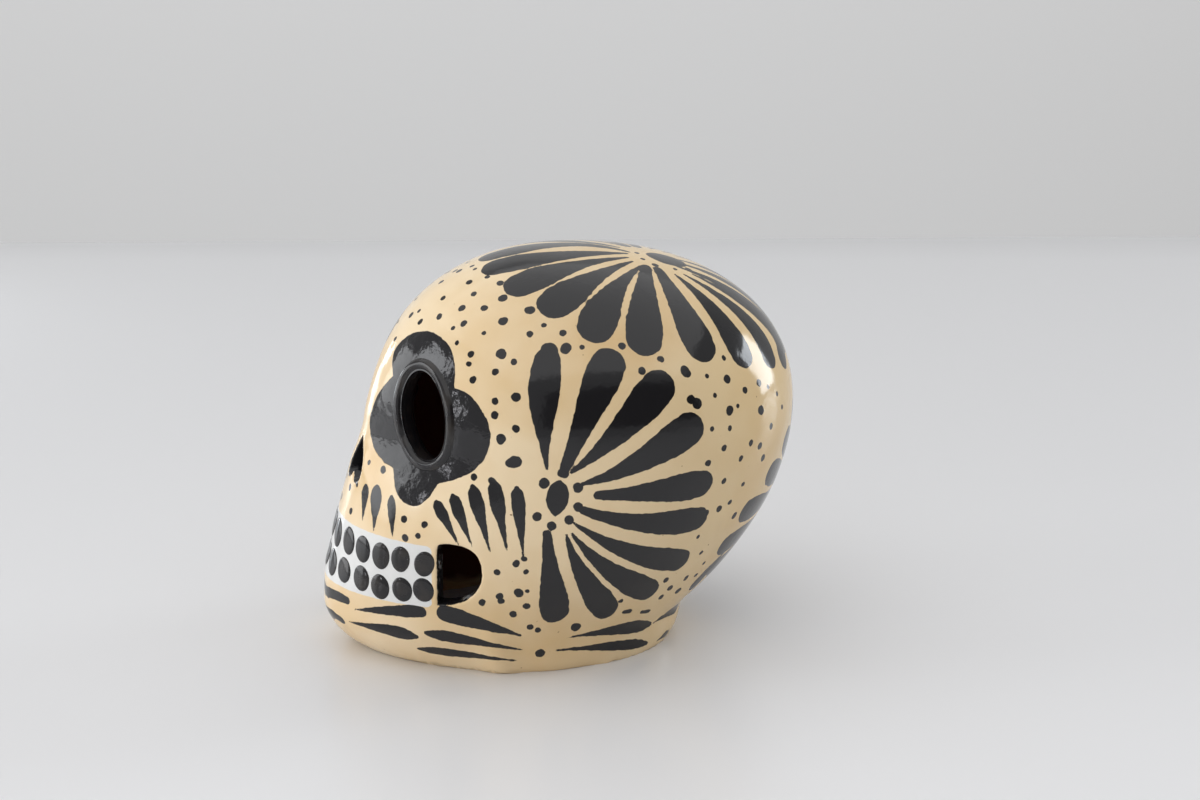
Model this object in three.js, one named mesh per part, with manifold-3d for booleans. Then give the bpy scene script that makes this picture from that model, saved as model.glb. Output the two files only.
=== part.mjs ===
// Hollow fired-clay skull ornament, glazed and painted with petals, leaves and dots.
// The potter's pieces are separate solids: one thin hollow shell, a coil of clay round
// each eye, and small clay pellets for the teeth.
//
// Millimetres. +Z is up, the face looks along -Y, and the skull's own left is +X.
// The origin is on the resting plane, below the middle of the skull's box.

import * as THREE from 'three';
import { mergeVertices } from 'three/addons/utils/BufferGeometryUtils.js';
import Module from 'manifold-3d';

const wasm = await Module();
wasm.setup();

// Driving dimensions
const skullLength = 100;
const skullWidth = 75;
const skullHeight = 81;
const wallThickness = 4;
const seatGap = 0.3;
const cutOverrun = 6;
const weldDistance = 0.0001;

// Eyes: oval holes whose tops lean towards each other, each in a shallow dish
const eyeWidth = 11.2;
const eyeHeight = 18;
const eyeSpacing = 32.4;
const eyeLevel = 52.9;
const eyeTurnDegrees = 36;
const eyeLiftDegrees = 8;
const eyeLeanDegrees = 20;
const coilRadius = 1.2;
const coilRise = 0.9;
const dishDepth = 1.8;
const dishRadius = 13;

// The right eye was cut a little further out and pressed a little deeper
const rightEyeShift = 2.2;
const rightDishDepth = 2.3;

// Nose
const noseWidth = 7.4;
const noseHeight = 8.8;
const noseLevel = 40;
const bridgeRise = 1.2;
const bridgeRadius = 8;

// Cheek windows behind the mouth
const windowWidth = 9;
const windowHeight = 12.8;
const windowLevel = 22.5;
const windowSpacing = 54.4;
const windowTurnDegrees = 57;

// Teeth: two rows of flat pellets, set by eye, so the rows aren't quite in line
const teethEachSide = 5;
const toothPitch = 5.2;
const toothWidth = 4.7;
const toothRise = 0.6;
const toothLeanDegrees = 12;
const upperToothHeight = 5.3;
const upperToothLevel = 24.6;
const upperRowShift = 0.3;
const lowerToothHeight = 4.9;
const lowerToothLevel = 18.6;
const lowerRowShift = 1.2;

// How far each tooth strays, from the middle one outwards: sideways in shares of the
// pitch, upwards in shares of its height. A tooth beyond the table strays as its last row.
const upperStrayShares = [
  [0, 0], [0.075, 0], [0.06, -0.066], [0.06, -0.09], [0.02, -0.04], [-0.02, -0.05],
];
const lowerStrayShares = [
  [0, 0], [0.02, 0], [0.1, -0.04], [0.11, -0.15], [0.11, -0.08], [0.07, 0.03],
];

// How finely the round forms are faceted
const ringPointCount = 64;
const wallRingCount = 22;
const domeRingCount = 14;
const coilStepCount = 40;
const coilSideCount = 8;
const toothSideCount = 12;
const toothRingCount = 8;
const holeStepCount = 10;
const halvingCount = 30;

// The skull's outline in shares of its size. Each row is a height and, at that height,
// how far the form reaches. Face and neck are shares of half the length, measured from
// the middle; the width is a share of half the width.
const browShare = 0.583;
const crownShare = -0.05;
const faceShares = [
  [0, 0.869], [0.031, 0.93], [0.062, 0.968], [0.112, 1], [0.174, 0.996], [0.248, 0.968],
  [0.31, 0.942], [0.397, 0.9], [0.471, 0.862], [0.533, 0.822], [browShare, 0.805],
];
const neckShares = [
  [0, 0.461], [0.037, 0.499], [0.112, 0.517], [0.174, 0.553], [0.248, 0.49], [browShare, 0.2],
];
const widthShares = [
  [0, 0.747], [0.037, 0.757], [0.124, 0.8], [0.248, 0.9], [0.397, 0.973], [browShare, 1],
];
const widestShares = [
  [0, -0.16], [0.124, -0.195], [0.248, -0.14], [0.397, 0.02], [browShare, 0.175],
];

// How round each level is: 2 is an ellipse, less is more pointed, more is squarer.
const facePowers = [[0, 1.6], [0.124, 1.85], [0.248, 1.8], [0.397, 1.95], [browShare, 2]];
const neckPowers = [[0, 2.4], [0.124, 2.3], [0.248, 2.1], [browShare, 2]];
const domePowers = { forehead: 1.95, crown: 2.25 };
const neckBlendShare = 0.06;
const turnShare = 0.7;

// A smooth curve through the rows of a table, level at its upper end.
function follow(table, share) {
  const last = table.length - 1;
  const at = THREE.MathUtils.clamp(share, table[0][0], table[last][0]);
  let row = 0;
  while (row < last - 1 && at >= table[row + 1][0]) row += 1;
  const slope = (i) => (table[i + 1][1] - table[i][1]) / (table[i + 1][0] - table[i][0]);
  const tangent = (i) => {
    if (i === 0) return slope(0);
    if (i === last || slope(i - 1) * slope(i) <= 0) return 0;
    return (2 * slope(i - 1) * slope(i)) / (slope(i - 1) + slope(i));
  };
  const span = table[row + 1][0] - table[row][0];
  const t = (at - table[row][0]) / span;
  const rise = THREE.MathUtils.lerp(table[row][1], table[row + 1][1], t * t * (3 - 2 * t));
  const bow = t * (1 - t) ** 2 * tangent(row) - t * t * (1 - t) * tangent(row + 1);
  return rise + bow * span;
}

// The larger of two shares, with the crease between them rounded off.
function roundedMax(a, b, blend) {
  const t = THREE.MathUtils.clamp(0.5 + (a - b) / (2 * blend), 0, 1);
  return b + (a - b) * t + blend * t * (1 - t);
}

// The level outline of the skull at one height: a lopsided round form.
function levelOutline(height) {
  const share = THREE.MathUtils.clamp(height / skullHeight, 0, 1);
  const halfLength = skullLength / 2;
  const halfWidth = skullWidth / 2;
  if (share > browShare) {
    const climb = (share - browShare) / (1 - browShare);
    const dome = (power) => Math.max(1 - climb ** power, 0) ** (1 / power);
    const face = faceShares.at(-1)[1];
    const widest = widestShares.at(-1)[1];
    return {
      front: (crownShare - (face + crownShare) * dome(domePowers.forehead)) * halfLength,
      back: (crownShare + (1 - crownShare) * dome(domePowers.crown)) * halfLength,
      middle: (crownShare + (widest - crownShare) * dome(2)) * halfLength,
      half: dome(2) * halfWidth,
      frontPower: 2,
      backPower: 2,
    };
  }
  const drop = (browShare - share) / browShare;
  const roundBack = crownShare + (1 - crownShare) * Math.sqrt(1 - drop * drop);
  return {
    front: -follow(faceShares, share) * halfLength,
    back: roundedMax(roundBack, follow(neckShares, share), neckBlendShare) * halfLength,
    middle: follow(widestShares, share) * halfLength,
    half: follow(widthShares, share) * halfWidth,
    frontPower: follow(facePowers, share),
    backPower: follow(neckPowers, share),
  };
}

// The plain form without relief. The angle is 0 at the face and grows towards +X.
function plainPoint(angle, height) {
  const level = levelOutline(height);
  const ahead = Math.cos(angle);
  const aside = Math.abs(Math.sin(angle));
  const t = THREE.MathUtils.clamp(0.5 + ahead / turnShare, 0, 1);
  const frontness = t * t * (3 - 2 * t);
  const behind = level.back - level.middle;
  const depth = THREE.MathUtils.lerp(behind, level.middle - level.front, frontness);
  const power = THREE.MathUtils.lerp(level.backPower, level.frontPower, frontness);
  if (level.half <= 0 || depth <= 0) return new THREE.Vector3(0, level.middle, height);
  const spread = (aside / level.half) ** power + (Math.abs(ahead) / depth) ** power;
  const reach = spread ** (-1 / power);
  return new THREE.Vector3(reach * Math.sin(angle), level.middle - reach * ahead, height);
}

// The angle at which the face lies one distance to the side of the middle.
function angleAside(distance, height) {
  let low = 0;
  let high = Math.PI / 2;
  for (let i = 0; i < halvingCount; i += 1) {
    const half = (low + high) / 2;
    if (plainPoint(half, height).x < Math.abs(distance)) low = half;
    else high = half;
  }
  return Math.sign(distance) * low;
}

// Low relief: each soft swelling or hollow has a centre, a rise and a radius.
const leftEyeAngle = angleAside(eyeSpacing / 2, eyeLevel);
const rightEyeAngle = angleAside(-eyeSpacing / 2 - rightEyeShift, eyeLevel);
const noseTop = noseLevel + noseHeight / 2;
const relief = [
  { at: plainPoint(leftEyeAngle, eyeLevel), rise: -dishDepth, radius: dishRadius },
  { at: plainPoint(rightEyeAngle, eyeLevel), rise: -rightDishDepth, radius: dishRadius },
  { at: plainPoint(0, noseTop), rise: bridgeRise, radius: bridgeRadius },
];

// The finished skin: the plain form with its relief.
function skinPoint(angle, height) {
  const point = plainPoint(angle, height);
  const swell = relief.reduce((sum, form) => {
    const far = point.distanceTo(form.at) / form.radius;
    return sum + form.rise * Math.exp(-far * far);
  }, 0);
  point.x += swell * Math.sin(angle);
  point.y -= swell * Math.cos(angle);
  return point;
}

// The outward direction of the skin, from two short steps along it.
function skinNormal(angle, height) {
  const turn = Math.PI / 360;
  const climb = skullHeight / 400;
  const low = Math.max(height - climb, 0);
  const high = Math.min(height + climb, skullHeight * 0.9995);
  const along = skinPoint(angle + turn, height).sub(skinPoint(angle - turn, height));
  const up = skinPoint(angle, high).sub(skinPoint(angle, low));
  return along.cross(up).normalize();
}

// Turning a geometry into an exact solid
function solidOf(geometry) {
  const bare = geometry.clone();
  bare.deleteAttribute('normal');
  bare.deleteAttribute('uv');
  const merged = mergeVertices(bare, weldDistance);
  return new wasm.Manifold(new wasm.Mesh({
    numProp: 3,
    vertProperties: new Float32Array(merged.attributes.position.array),
    triVerts: new Uint32Array(merged.index.array),
  }));
}

// Turning an exact solid back into a geometry
function geometryOf(solid) {
  const mesh = solid.getMesh();
  const geometry = new THREE.BufferGeometry();
  geometry.setAttribute('position', new THREE.BufferAttribute(mesh.vertProperties, 3));
  geometry.setIndex(new THREE.BufferAttribute(mesh.triVerts, 1));
  geometry.computeVertexNormals();
  return geometry;
}

// The whole skin moved in or out by one distance, as a closed form on a flat floor.
// A floor below the resting plane makes a form that cuts right through the base.
function bodyGeometry(offset, floorDepth, points) {
  const brow = browShare * skullHeight;
  const heights = [];
  for (let i = 0; i < wallRingCount; i += 1) heights.push((brow * i) / wallRingCount);
  for (let i = 0; i < domeRingCount; i += 1) {
    heights.push(brow + (skullHeight - brow) * Math.sin((Math.PI / 2) * (i / domeRingCount)));
  }
  const places = [];
  const addRing = (height) => {
    for (let k = 0; k < points; k += 1) {
      const angle = (2 * Math.PI * k) / points;
      places.push(skinPoint(angle, height).addScaledVector(skinNormal(angle, height), offset));
    }
  };
  if (floorDepth > 0) addRing(0);
  heights.forEach(addRing);
  places.slice(0, points).forEach((place) => place.setZ(-floorDepth));
  const rings = places.length / points;
  places.push(new THREE.Vector3(0, levelOutline(skullHeight).middle, skullHeight + offset));
  places.push(new THREE.Vector3(0, levelOutline(0).middle, -floorDepth));
  const faces = [];
  for (let r = 0; r < rings - 1; r += 1) {
    for (let k = 0; k < points; k += 1) {
      const a = r * points + k;
      const b = r * points + ((k + 1) % points);
      faces.push(a, b, b + points, a, b + points, a + points);
    }
  }
  for (let k = 0; k < points; k += 1) {
    const next = (k + 1) % points;
    const last = (rings - 1) * points;
    faces.push(last + k, last + next, places.length - 2);
    faces.push(next, k, places.length - 1);
  }
  const geometry = new THREE.BufferGeometry().setFromPoints(places);
  geometry.setIndex(faces);
  return geometry;
}

// A frame on the skin whose Z points outwards. It is turned towards the side, lifted
// to look upwards, and leaned like a clock hand, all in degrees.
function frameAt(point, turn, lift, lean) {
  const aside = THREE.MathUtils.degToRad(turn);
  const rise = THREE.MathUtils.degToRad(lift);
  const out = new THREE.Vector3(Math.sin(aside), -Math.cos(aside), Math.tan(rise)).normalize();
  const across = new THREE.Vector3(Math.cos(aside), Math.sin(aside), 0);
  const up = new THREE.Vector3().crossVectors(out, across);
  const frame = new THREE.Matrix4().makeBasis(across, up, out).setPosition(point);
  return frame.multiply(new THREE.Matrix4().makeRotationZ(THREE.MathUtils.degToRad(lean)));
}

function eyeFrame(side) {
  const centre = skinPoint(side > 0 ? leftEyeAngle : rightEyeAngle, eyeLevel);
  return frameAt(centre, side * eyeTurnDegrees, eyeLiftDegrees, side * eyeLeanDegrees);
}

function windowFrame(side) {
  const centre = skinPoint(angleAside((side * windowSpacing) / 2, windowLevel), windowLevel);
  return frameAt(centre, side * windowTurnDegrees, 0, 0);
}

// A hole cutter: an outline pushed straight through the wall from outside.
function holeCutter(shape, frame) {
  const depth = 2 * (wallThickness + cutOverrun);
  const options = { depth, bevelEnabled: false, curveSegments: holeStepCount };
  const geometry = new THREE.ExtrudeGeometry(shape, options);
  geometry.translate(0, 0, -depth / 2);
  return solidOf(geometry.applyMatrix4(frame));
}

function eyeShape() {
  return new THREE.Shape().absellipse(0, 0, eyeWidth / 2, eyeHeight / 2, 0, 2 * Math.PI);
}

// An upside-down heart: a point at the top and two round lobes below.
function noseShape() {
  const wide = noseWidth / 2;
  const tall = noseHeight / 2;
  const shape = new THREE.Shape();
  shape.moveTo(0, tall);
  shape.bezierCurveTo(wide / 2, tall / 2, wide, 0, wide, -tall / 2);
  shape.bezierCurveTo(wide, -tall, wide / 4, -tall, 0, -tall / 2);
  shape.bezierCurveTo(-wide / 4, -tall, -wide, -tall, -wide, -tall / 2);
  shape.bezierCurveTo(-wide, 0, -wide / 2, tall / 2, 0, tall);
  return shape;
}

// A D with its straight side towards the mouth and its round side towards the ear. Its
// upper front corner is rounded.
function windowShape(side) {
  const wide = (side * windowWidth) / 2;
  const tall = windowHeight / 2;
  const shape = new THREE.Shape();
  shape.moveTo(-wide, -tall);
  shape.bezierCurveTo(wide / 2, -tall, wide, -tall / 3, wide, tall / 8);
  shape.bezierCurveTo(wide, tall * 0.8, wide / 2, tall, -wide * 0.35, tall);
  shape.bezierCurveTo(-wide * 0.8, tall, -wide, tall * 0.95, -wide, tall * 0.75);
  shape.closePath();
  return shape;
}

function makeShell() {
  let shell = solidOf(bodyGeometry(0, 0, ringPointCount));
  shell = shell.subtract(solidOf(bodyGeometry(-wallThickness, cutOverrun, ringPointCount / 2)));
  for (const side of [1, -1]) {
    shell = shell.subtract(holeCutter(eyeShape(), eyeFrame(side)));
    shell = shell.subtract(holeCutter(windowShape(side), windowFrame(side)));
  }
  const noseFrame = frameAt(skinPoint(0, noseLevel), 0, 0, 0);
  return geometryOf(shell.subtract(holeCutter(noseShape(), noseFrame)));
}

// The skin grown by the seat gap. What sits on the skull is trimmed to it.
const seat = solidOf(bodyGeometry(seatGap, 0, ringPointCount));

// A coil of clay round one eye hole, pressed down flat onto the skin.
function makeEyeCoil(side) {
  const frame = eyeFrame(side);
  const pathWidth = eyeWidth / 2 + coilRadius;
  const pathHeight = eyeHeight / 2 + coilRadius;
  const geometry = new THREE.TorusGeometry(pathWidth, coilRadius, coilSideCount, coilStepCount);
  geometry.scale(1, 1, coilRise / coilRadius);
  const places = geometry.attributes.position;
  for (let i = 0; i < places.count; i += 1) {
    const place = new THREE.Vector3().fromBufferAttribute(places, i);
    const round = Math.atan2(place.y, place.x);
    const spread = Math.hypot(place.x, place.y) - pathWidth;
    const path = new THREE.Vector3(pathWidth * Math.cos(round), pathHeight * Math.sin(round), 0);
    path.applyMatrix4(frame);
    const angle = Math.atan2(path.x, levelOutline(path.z).middle - path.y);
    const out = skinNormal(angle, path.z);
    const away = new THREE.Vector3(Math.cos(round), Math.sin(round), 0).transformDirection(frame);
    away.addScaledVector(out, -away.dot(out)).normalize();
    const spot = skinPoint(angle, path.z);
    spot.addScaledVector(away, spread).addScaledVector(out, place.z);
    places.setXYZ(i, spot.x, spot.y, spot.z);
  }
  return geometryOf(solidOf(geometry).subtract(seat));
}

// The angle at which a tape laid round the face from its middle reads one length.
function angleAlong(length, height) {
  const step = Math.PI / 720;
  let angle = 0;
  let gone = 0;
  let spot = skinPoint(0, height);
  while (gone < Math.abs(length)) {
    angle += step;
    const next = skinPoint(angle, height);
    gone += next.distanceTo(spot);
    spot = next;
  }
  return Math.sign(length) * angle;
}

// A tooth: a flat pellet pressed onto the skin, its top leaning towards the middle.
function makeTooth(place, row) {
  const side = Math.sign(place);
  const [strayAlong, strayUp] = row.strays[Math.min(Math.abs(place), row.strays.length - 1)];
  const level = row.level + strayUp * row.tall;
  const angle = angleAlong((place + side * strayAlong) * toothPitch + row.shift, level);
  const out = skinNormal(angle, level);
  const across = new THREE.Vector3(0, 0, 1).cross(out).normalize();
  const up = new THREE.Vector3().crossVectors(out, across);
  const centre = skinPoint(angle, level);
  const frame = new THREE.Matrix4().makeBasis(across, up, out).setPosition(centre);
  const geometry = new THREE.SphereGeometry(1, toothSideCount, toothRingCount);
  geometry.rotateX(Math.PI / 2);
  geometry.scale(toothWidth / 2, row.tall / 2, toothRise + seatGap);
  geometry.rotateZ(side * THREE.MathUtils.degToRad(toothLeanDegrees));
  return geometryOf(solidOf(geometry.applyMatrix4(frame)).subtract(seat));
}

const creamGlaze = new THREE.MeshStandardMaterial({ color: 0xe4cda5, roughness: 0.15, metalness: 0 });
const blackGlaze = new THREE.MeshStandardMaterial({ color: 0x1d1c1e, roughness: 0.12, metalness: 0 });

const skull = new THREE.Group();

function addPiece(name, geometry, material) {
  const mesh = new THREE.Mesh(geometry, material.clone());
  mesh.name = name;
  skull.add(mesh);
}

addPiece('skull_shell', makeShell(), creamGlaze);
addPiece('left_eye_coil', makeEyeCoil(1), blackGlaze);
addPiece('right_eye_coil', makeEyeCoil(-1), blackGlaze);

const rows = [
  {
    name: 'upper',
    level: upperToothLevel,
    tall: upperToothHeight,
    shift: upperRowShift,
    strays: upperStrayShares,
  },
  {
    name: 'lower',
    level: lowerToothLevel,
    tall: lowerToothHeight,
    shift: lowerRowShift,
    strays: lowerStrayShares,
  },
];
for (const row of rows) {
  addPiece(`${row.name}_middle_tooth`, makeTooth(0, row), blackGlaze);
  for (let place = 1; place <= teethEachSide; place += 1) {
    addPiece(`${row.name}_left_tooth_${place}`, makeTooth(place, row), blackGlaze);
    addPiece(`${row.name}_right_tooth_${place}`, makeTooth(-place, row), blackGlaze);
  }
}

export default skull;
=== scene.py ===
# %% [markdown]
# # A painted clay skull
#
# This lesson dresses a hollow skull of fired clay: cream slip, black brushwork, a white
# band with pellet teeth, and a clear gloss glaze over all of it. The solids that carry
# the look are already there, so the first step loads them as a fixed frame.

# %% Load the frame
import math
import random

import bpy
import numpy as np
from mathutils import Matrix, Vector
from mathutils.bvhtree import BVHTree


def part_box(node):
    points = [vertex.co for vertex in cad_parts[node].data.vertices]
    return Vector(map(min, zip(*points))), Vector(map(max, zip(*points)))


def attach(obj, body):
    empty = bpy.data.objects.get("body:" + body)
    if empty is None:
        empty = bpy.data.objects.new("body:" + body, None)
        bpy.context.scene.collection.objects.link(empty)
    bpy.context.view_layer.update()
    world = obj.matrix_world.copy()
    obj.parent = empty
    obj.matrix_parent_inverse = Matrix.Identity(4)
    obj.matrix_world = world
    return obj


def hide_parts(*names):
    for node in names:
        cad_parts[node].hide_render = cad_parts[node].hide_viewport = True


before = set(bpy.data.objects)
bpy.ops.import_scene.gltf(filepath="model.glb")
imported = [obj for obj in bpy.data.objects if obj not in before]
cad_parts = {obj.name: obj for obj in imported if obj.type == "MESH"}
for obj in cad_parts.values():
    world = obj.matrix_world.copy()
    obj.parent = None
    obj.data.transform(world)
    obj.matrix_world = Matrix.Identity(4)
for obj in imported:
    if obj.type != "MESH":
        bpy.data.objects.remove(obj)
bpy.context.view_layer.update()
print("frame holds", len(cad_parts), "solids")

# %% [markdown]
# ## Sizes
#
# Shapes are worked out in millimetres and turned into metres when a mesh is made. The
# overall size comes from the frame, so the painted skin always fits the solid below it.

# %% Sizes in millimetres
MM = 0.001
shell_low, shell_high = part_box("skull_shell")
SKULL_LENGTH = (shell_high.y - shell_low.y) / MM
SKULL_WIDTH = (shell_high.x - shell_low.x) / MM
SKULL_HEIGHT = (shell_high.z - shell_low.z) / MM
WALL = 4
BROW_SHARE = 0.583
CROWN_SHARE = -0.05
BROW_HEIGHT = BROW_SHARE * SKULL_HEIGHT
print(f"skull {SKULL_LENGTH:.1f} x {SKULL_WIDTH:.1f} x {SKULL_HEIGHT:.1f} mm")

# %% [markdown]
# ## The form
#
# A potter presses or casts this skull as one soft, lopsided egg with a chin. Such a form
# has no flat part and no edge, so moving points by hand would leave dents. A few rows of
# numbers describe it instead: how far face, neck and sides reach at each height. A smooth
# curve runs through the rows, and each level is a rounded outline between them.

# %% Outline tables: height share, reach share
FACE_SHARES = [
    (0, 0.869), (0.031, 0.93), (0.062, 0.968), (0.112, 1), (0.174, 0.996), (0.248, 0.968),
    (0.31, 0.942), (0.397, 0.9), (0.471, 0.862), (0.533, 0.822), (BROW_SHARE, 0.805),
]
NECK_SHARES = [
    (0, 0.461), (0.037, 0.499), (0.112, 0.517), (0.174, 0.553), (0.248, 0.49), (BROW_SHARE, 0.2),
]
WIDTH_SHARES = [
    (0, 0.747), (0.037, 0.757), (0.124, 0.8), (0.248, 0.9), (0.397, 0.973), (BROW_SHARE, 1),
]
WIDEST_SHARES = [
    (0, -0.16), (0.124, -0.195), (0.248, -0.14), (0.397, 0.02), (BROW_SHARE, 0.175),
]
FACE_POWERS = [(0, 1.6), (0.124, 1.85), (0.248, 1.8), (0.397, 1.95), (BROW_SHARE, 2)]
NECK_POWERS = [(0, 2.4), (0.124, 2.3), (0.248, 2.1), (BROW_SHARE, 2)]
FOREHEAD_POWER = 1.95
CROWN_POWER = 2.25
NECK_BLEND_SHARE = 0.06
TURN_SHARE = 0.7
HALVINGS = 30


def follow(table, share):
    """A smooth curve through the rows of a table, level at its upper end."""
    at, values = np.array(table, float).T
    slope = np.diff(values) / np.diff(at)
    same_way = slope[:-1] * slope[1:] > 0
    total = np.where(same_way, slope[:-1] + slope[1:], 1)
    inner = np.where(same_way, 2 * slope[:-1] * slope[1:] / total, 0)
    tangent = np.concatenate([slope[:1], inner, [0]])
    share = np.clip(share, at[0], at[-1])
    row = np.clip(np.searchsorted(at, share, side="right") - 1, 0, len(slope) - 1)
    span = at[row + 1] - at[row]
    t = (share - at[row]) / span
    rise = values[row] + (values[row + 1] - values[row]) * t * t * (3 - 2 * t)
    bow = t * (1 - t) ** 2 * tangent[row] - t * t * (1 - t) * tangent[row + 1]
    return rise + bow * span


def rounded_max(a, b, blend):
    """The larger of two shares, with the crease between them rounded off."""
    t = np.clip(0.5 + (a - b) / (2 * blend), 0, 1)
    return b + (a - b) * t + blend * t * (1 - t)


def smooth_step(t):
    t = np.clip(t, 0, 1)
    return t * t * (3 - 2 * t)


# %% One level of the skull
def level_outline(height):
    """Front, back, middle and half width in millimetres, and how square front and back are."""
    share = np.clip(np.asarray(height, float) / SKULL_HEIGHT, 0, 1)
    above = share > BROW_SHARE
    climb = np.clip((share - BROW_SHARE) / (1 - BROW_SHARE), 0, 1)
    drop = np.clip((BROW_SHARE - share) / BROW_SHARE, 0, 1)

    def dome(power):
        return np.maximum(1 - climb**power, 0) ** (1 / power)

    face, widest = FACE_SHARES[-1][1], WIDEST_SHARES[-1][1]
    high_front = CROWN_SHARE - (face + CROWN_SHARE) * dome(FOREHEAD_POWER)
    high_back = CROWN_SHARE + (1 - CROWN_SHARE) * dome(CROWN_POWER)
    high_middle = CROWN_SHARE + (widest - CROWN_SHARE) * dome(2)
    round_back = CROWN_SHARE + (1 - CROWN_SHARE) * np.sqrt(1 - drop * drop)
    low_back = rounded_max(round_back, follow(NECK_SHARES, share), NECK_BLEND_SHARE)
    front = np.where(above, high_front, -follow(FACE_SHARES, share)) * SKULL_LENGTH / 2
    back = np.where(above, high_back, low_back) * SKULL_LENGTH / 2
    middle = np.where(above, high_middle, follow(WIDEST_SHARES, share)) * SKULL_LENGTH / 2
    half = np.where(above, dome(2), follow(WIDTH_SHARES, share)) * SKULL_WIDTH / 2
    front_power = np.where(above, 2, follow(FACE_POWERS, share))
    back_power = np.where(above, 2, follow(NECK_POWERS, share))
    return front, back, middle, half, front_power, back_power


def plain_point(angle, height):
    """Points of the form without relief. The angle is 0 at the face and grows towards +X."""
    angle, height = np.broadcast_arrays(np.asarray(angle, float), np.asarray(height, float))
    front, back, middle, half, front_power, back_power = level_outline(height)
    ahead, aside = np.cos(angle), np.abs(np.sin(angle))
    frontness = smooth_step(0.5 + ahead / TURN_SHARE)
    depth = (back - middle) + ((middle - front) - (back - middle)) * frontness
    power = back_power + (front_power - back_power) * frontness
    tiny = 1e-9
    spread = (aside / np.maximum(half, tiny)) ** power
    spread = spread + (np.abs(ahead) / np.maximum(depth, tiny)) ** power
    reach = np.where(half > tiny, np.maximum(spread, tiny) ** (-1 / power), 0)
    return np.stack([reach * np.sin(angle), middle - reach * ahead, height], -1)


def angle_aside(distance, height):
    """The angle at which the face lies one distance to the side of the middle."""
    low, high = 0.0, math.pi / 2
    for _ in range(HALVINGS):
        half = (low + high) / 2
        if plain_point(half, height)[0] < abs(distance):
            low = half
        else:
            high = half
    return math.copysign(low, distance)


print("crown reaches", plain_point(0.0, 0.999 * SKULL_HEIGHT).round(1))

# %% [markdown]
# ## Relief
#
# The eyes lie in shallow dishes, the bridge of the nose stands out a little, and low on each
# side the jaw has a soft corner. Each is a bell-shaped push, which keeps the glaze's
# reflections flowing.

# %% Holes and relief
EYE_WIDTH, EYE_HEIGHT = 11.2, 18
EYE_SPACING, EYE_LEVEL = 32.4, 52.9
EYE_TURN, EYE_LIFT, EYE_LEAN = 36, 8, 20
RIGHT_EYE_SHIFT = 2.2
NOSE_WIDTH, NOSE_HEIGHT, NOSE_LEVEL = 7.4, 8.8, 40
WINDOW_WIDTH, WINDOW_HEIGHT = 9, 12.8
WINDOW_SPACING, WINDOW_LEVEL, WINDOW_TURN = 54.4, 22.5, 57
DISH_DEPTH, DISH_RADIUS = 1.8, 13
RIGHT_DISH_EXTRA = 0.5
BRIDGE_RISE, BRIDGE_RADIUS = 1.2, 8
JAW_CORNER, JAW_CORNER_RADIUS = math.radians(65), 3.6
JAW_CORNER_RISES = [(0.5, 1.3), (5, 1.0), (9.5, 0.7)]

relief = []


def eye_aside(side):
    """How far each eye stands from the middle. The right one stands a little wider."""
    return side * EYE_SPACING / 2 if side > 0 else -EYE_SPACING / 2 - RIGHT_EYE_SHIFT


for side in (1, -1):
    dish_centre = plain_point(angle_aside(eye_aside(side), EYE_LEVEL), EYE_LEVEL)
    dish = DISH_DEPTH if side > 0 else DISH_DEPTH + RIGHT_DISH_EXTRA
    relief.append((dish_centre, -dish, DISH_RADIUS))
relief.append((plain_point(0, NOSE_LEVEL + NOSE_HEIGHT / 2), BRIDGE_RISE, BRIDGE_RADIUS))
for side in (1, -1):
    for height, rise in JAW_CORNER_RISES:
        relief.append((plain_point(side * JAW_CORNER, height), rise, JAW_CORNER_RADIUS))


def skin_point(angle, height):
    """Points of the finished skin: the plain form with its relief."""
    point = plain_point(angle, height)
    swell = 0
    for centre, rise, radius in relief:
        far = np.linalg.norm(point - centre, axis=-1) / radius
        swell = swell + rise * np.exp(-far * far)
    away = np.stack([np.sin(angle), -np.cos(angle), np.zeros_like(swell)], -1)
    return point + away * np.asarray(swell)[..., None]


def skin_normal(angle, height):
    """The outward direction of the skin, from two short steps along it."""
    turn, climb = math.pi / 360, SKULL_HEIGHT / 400
    low = np.maximum(height - climb, 0)
    high = np.minimum(height + climb, SKULL_HEIGHT * 0.9995)
    along = skin_point(angle + turn, height) - skin_point(angle - turn, height)
    up = skin_point(angle, high) - skin_point(angle, low)
    out = np.cross(along, up)
    return out / np.linalg.norm(out, axis=-1, keepdims=True)


# %% Frames that stand on the skin
def frame_at(point, turn, lift, lean):
    """A centre and three axes: across, up and out. Turn, lift and lean are in degrees."""
    turn, lift, lean = (math.radians(x) for x in (turn, lift, lean))
    out = np.array([math.sin(turn), -math.cos(turn), math.tan(lift)])
    out /= np.linalg.norm(out)
    across = np.array([math.cos(turn), math.sin(turn), 0])
    up = np.cross(out, across)
    leaned_across = across * math.cos(lean) + up * math.sin(lean)
    leaned_up = up * math.cos(lean) - across * math.sin(lean)
    return np.array(point, float), np.array([leaned_across, leaned_up, out])


def to_frame(points, place):
    centre, axes = place
    return (points - centre) @ axes.T


def from_frame(points, place):
    centre, axes = place
    return points @ axes + centre


def eye_frame(side):
    centre = skin_point(angle_aside(eye_aside(side), EYE_LEVEL), EYE_LEVEL)
    return frame_at(centre, side * EYE_TURN, EYE_LIFT, side * EYE_LEAN)


def window_frame(side):
    centre = skin_point(angle_aside(side * WINDOW_SPACING / 2, WINDOW_LEVEL), WINDOW_LEVEL)
    return frame_at(centre, side * WINDOW_TURN, 0, 0)


nose_frame = frame_at(skin_point(0.0, NOSE_LEVEL), 0, 0, 0)
print("left eye centre", eye_frame(1)[0].round(1))


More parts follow.
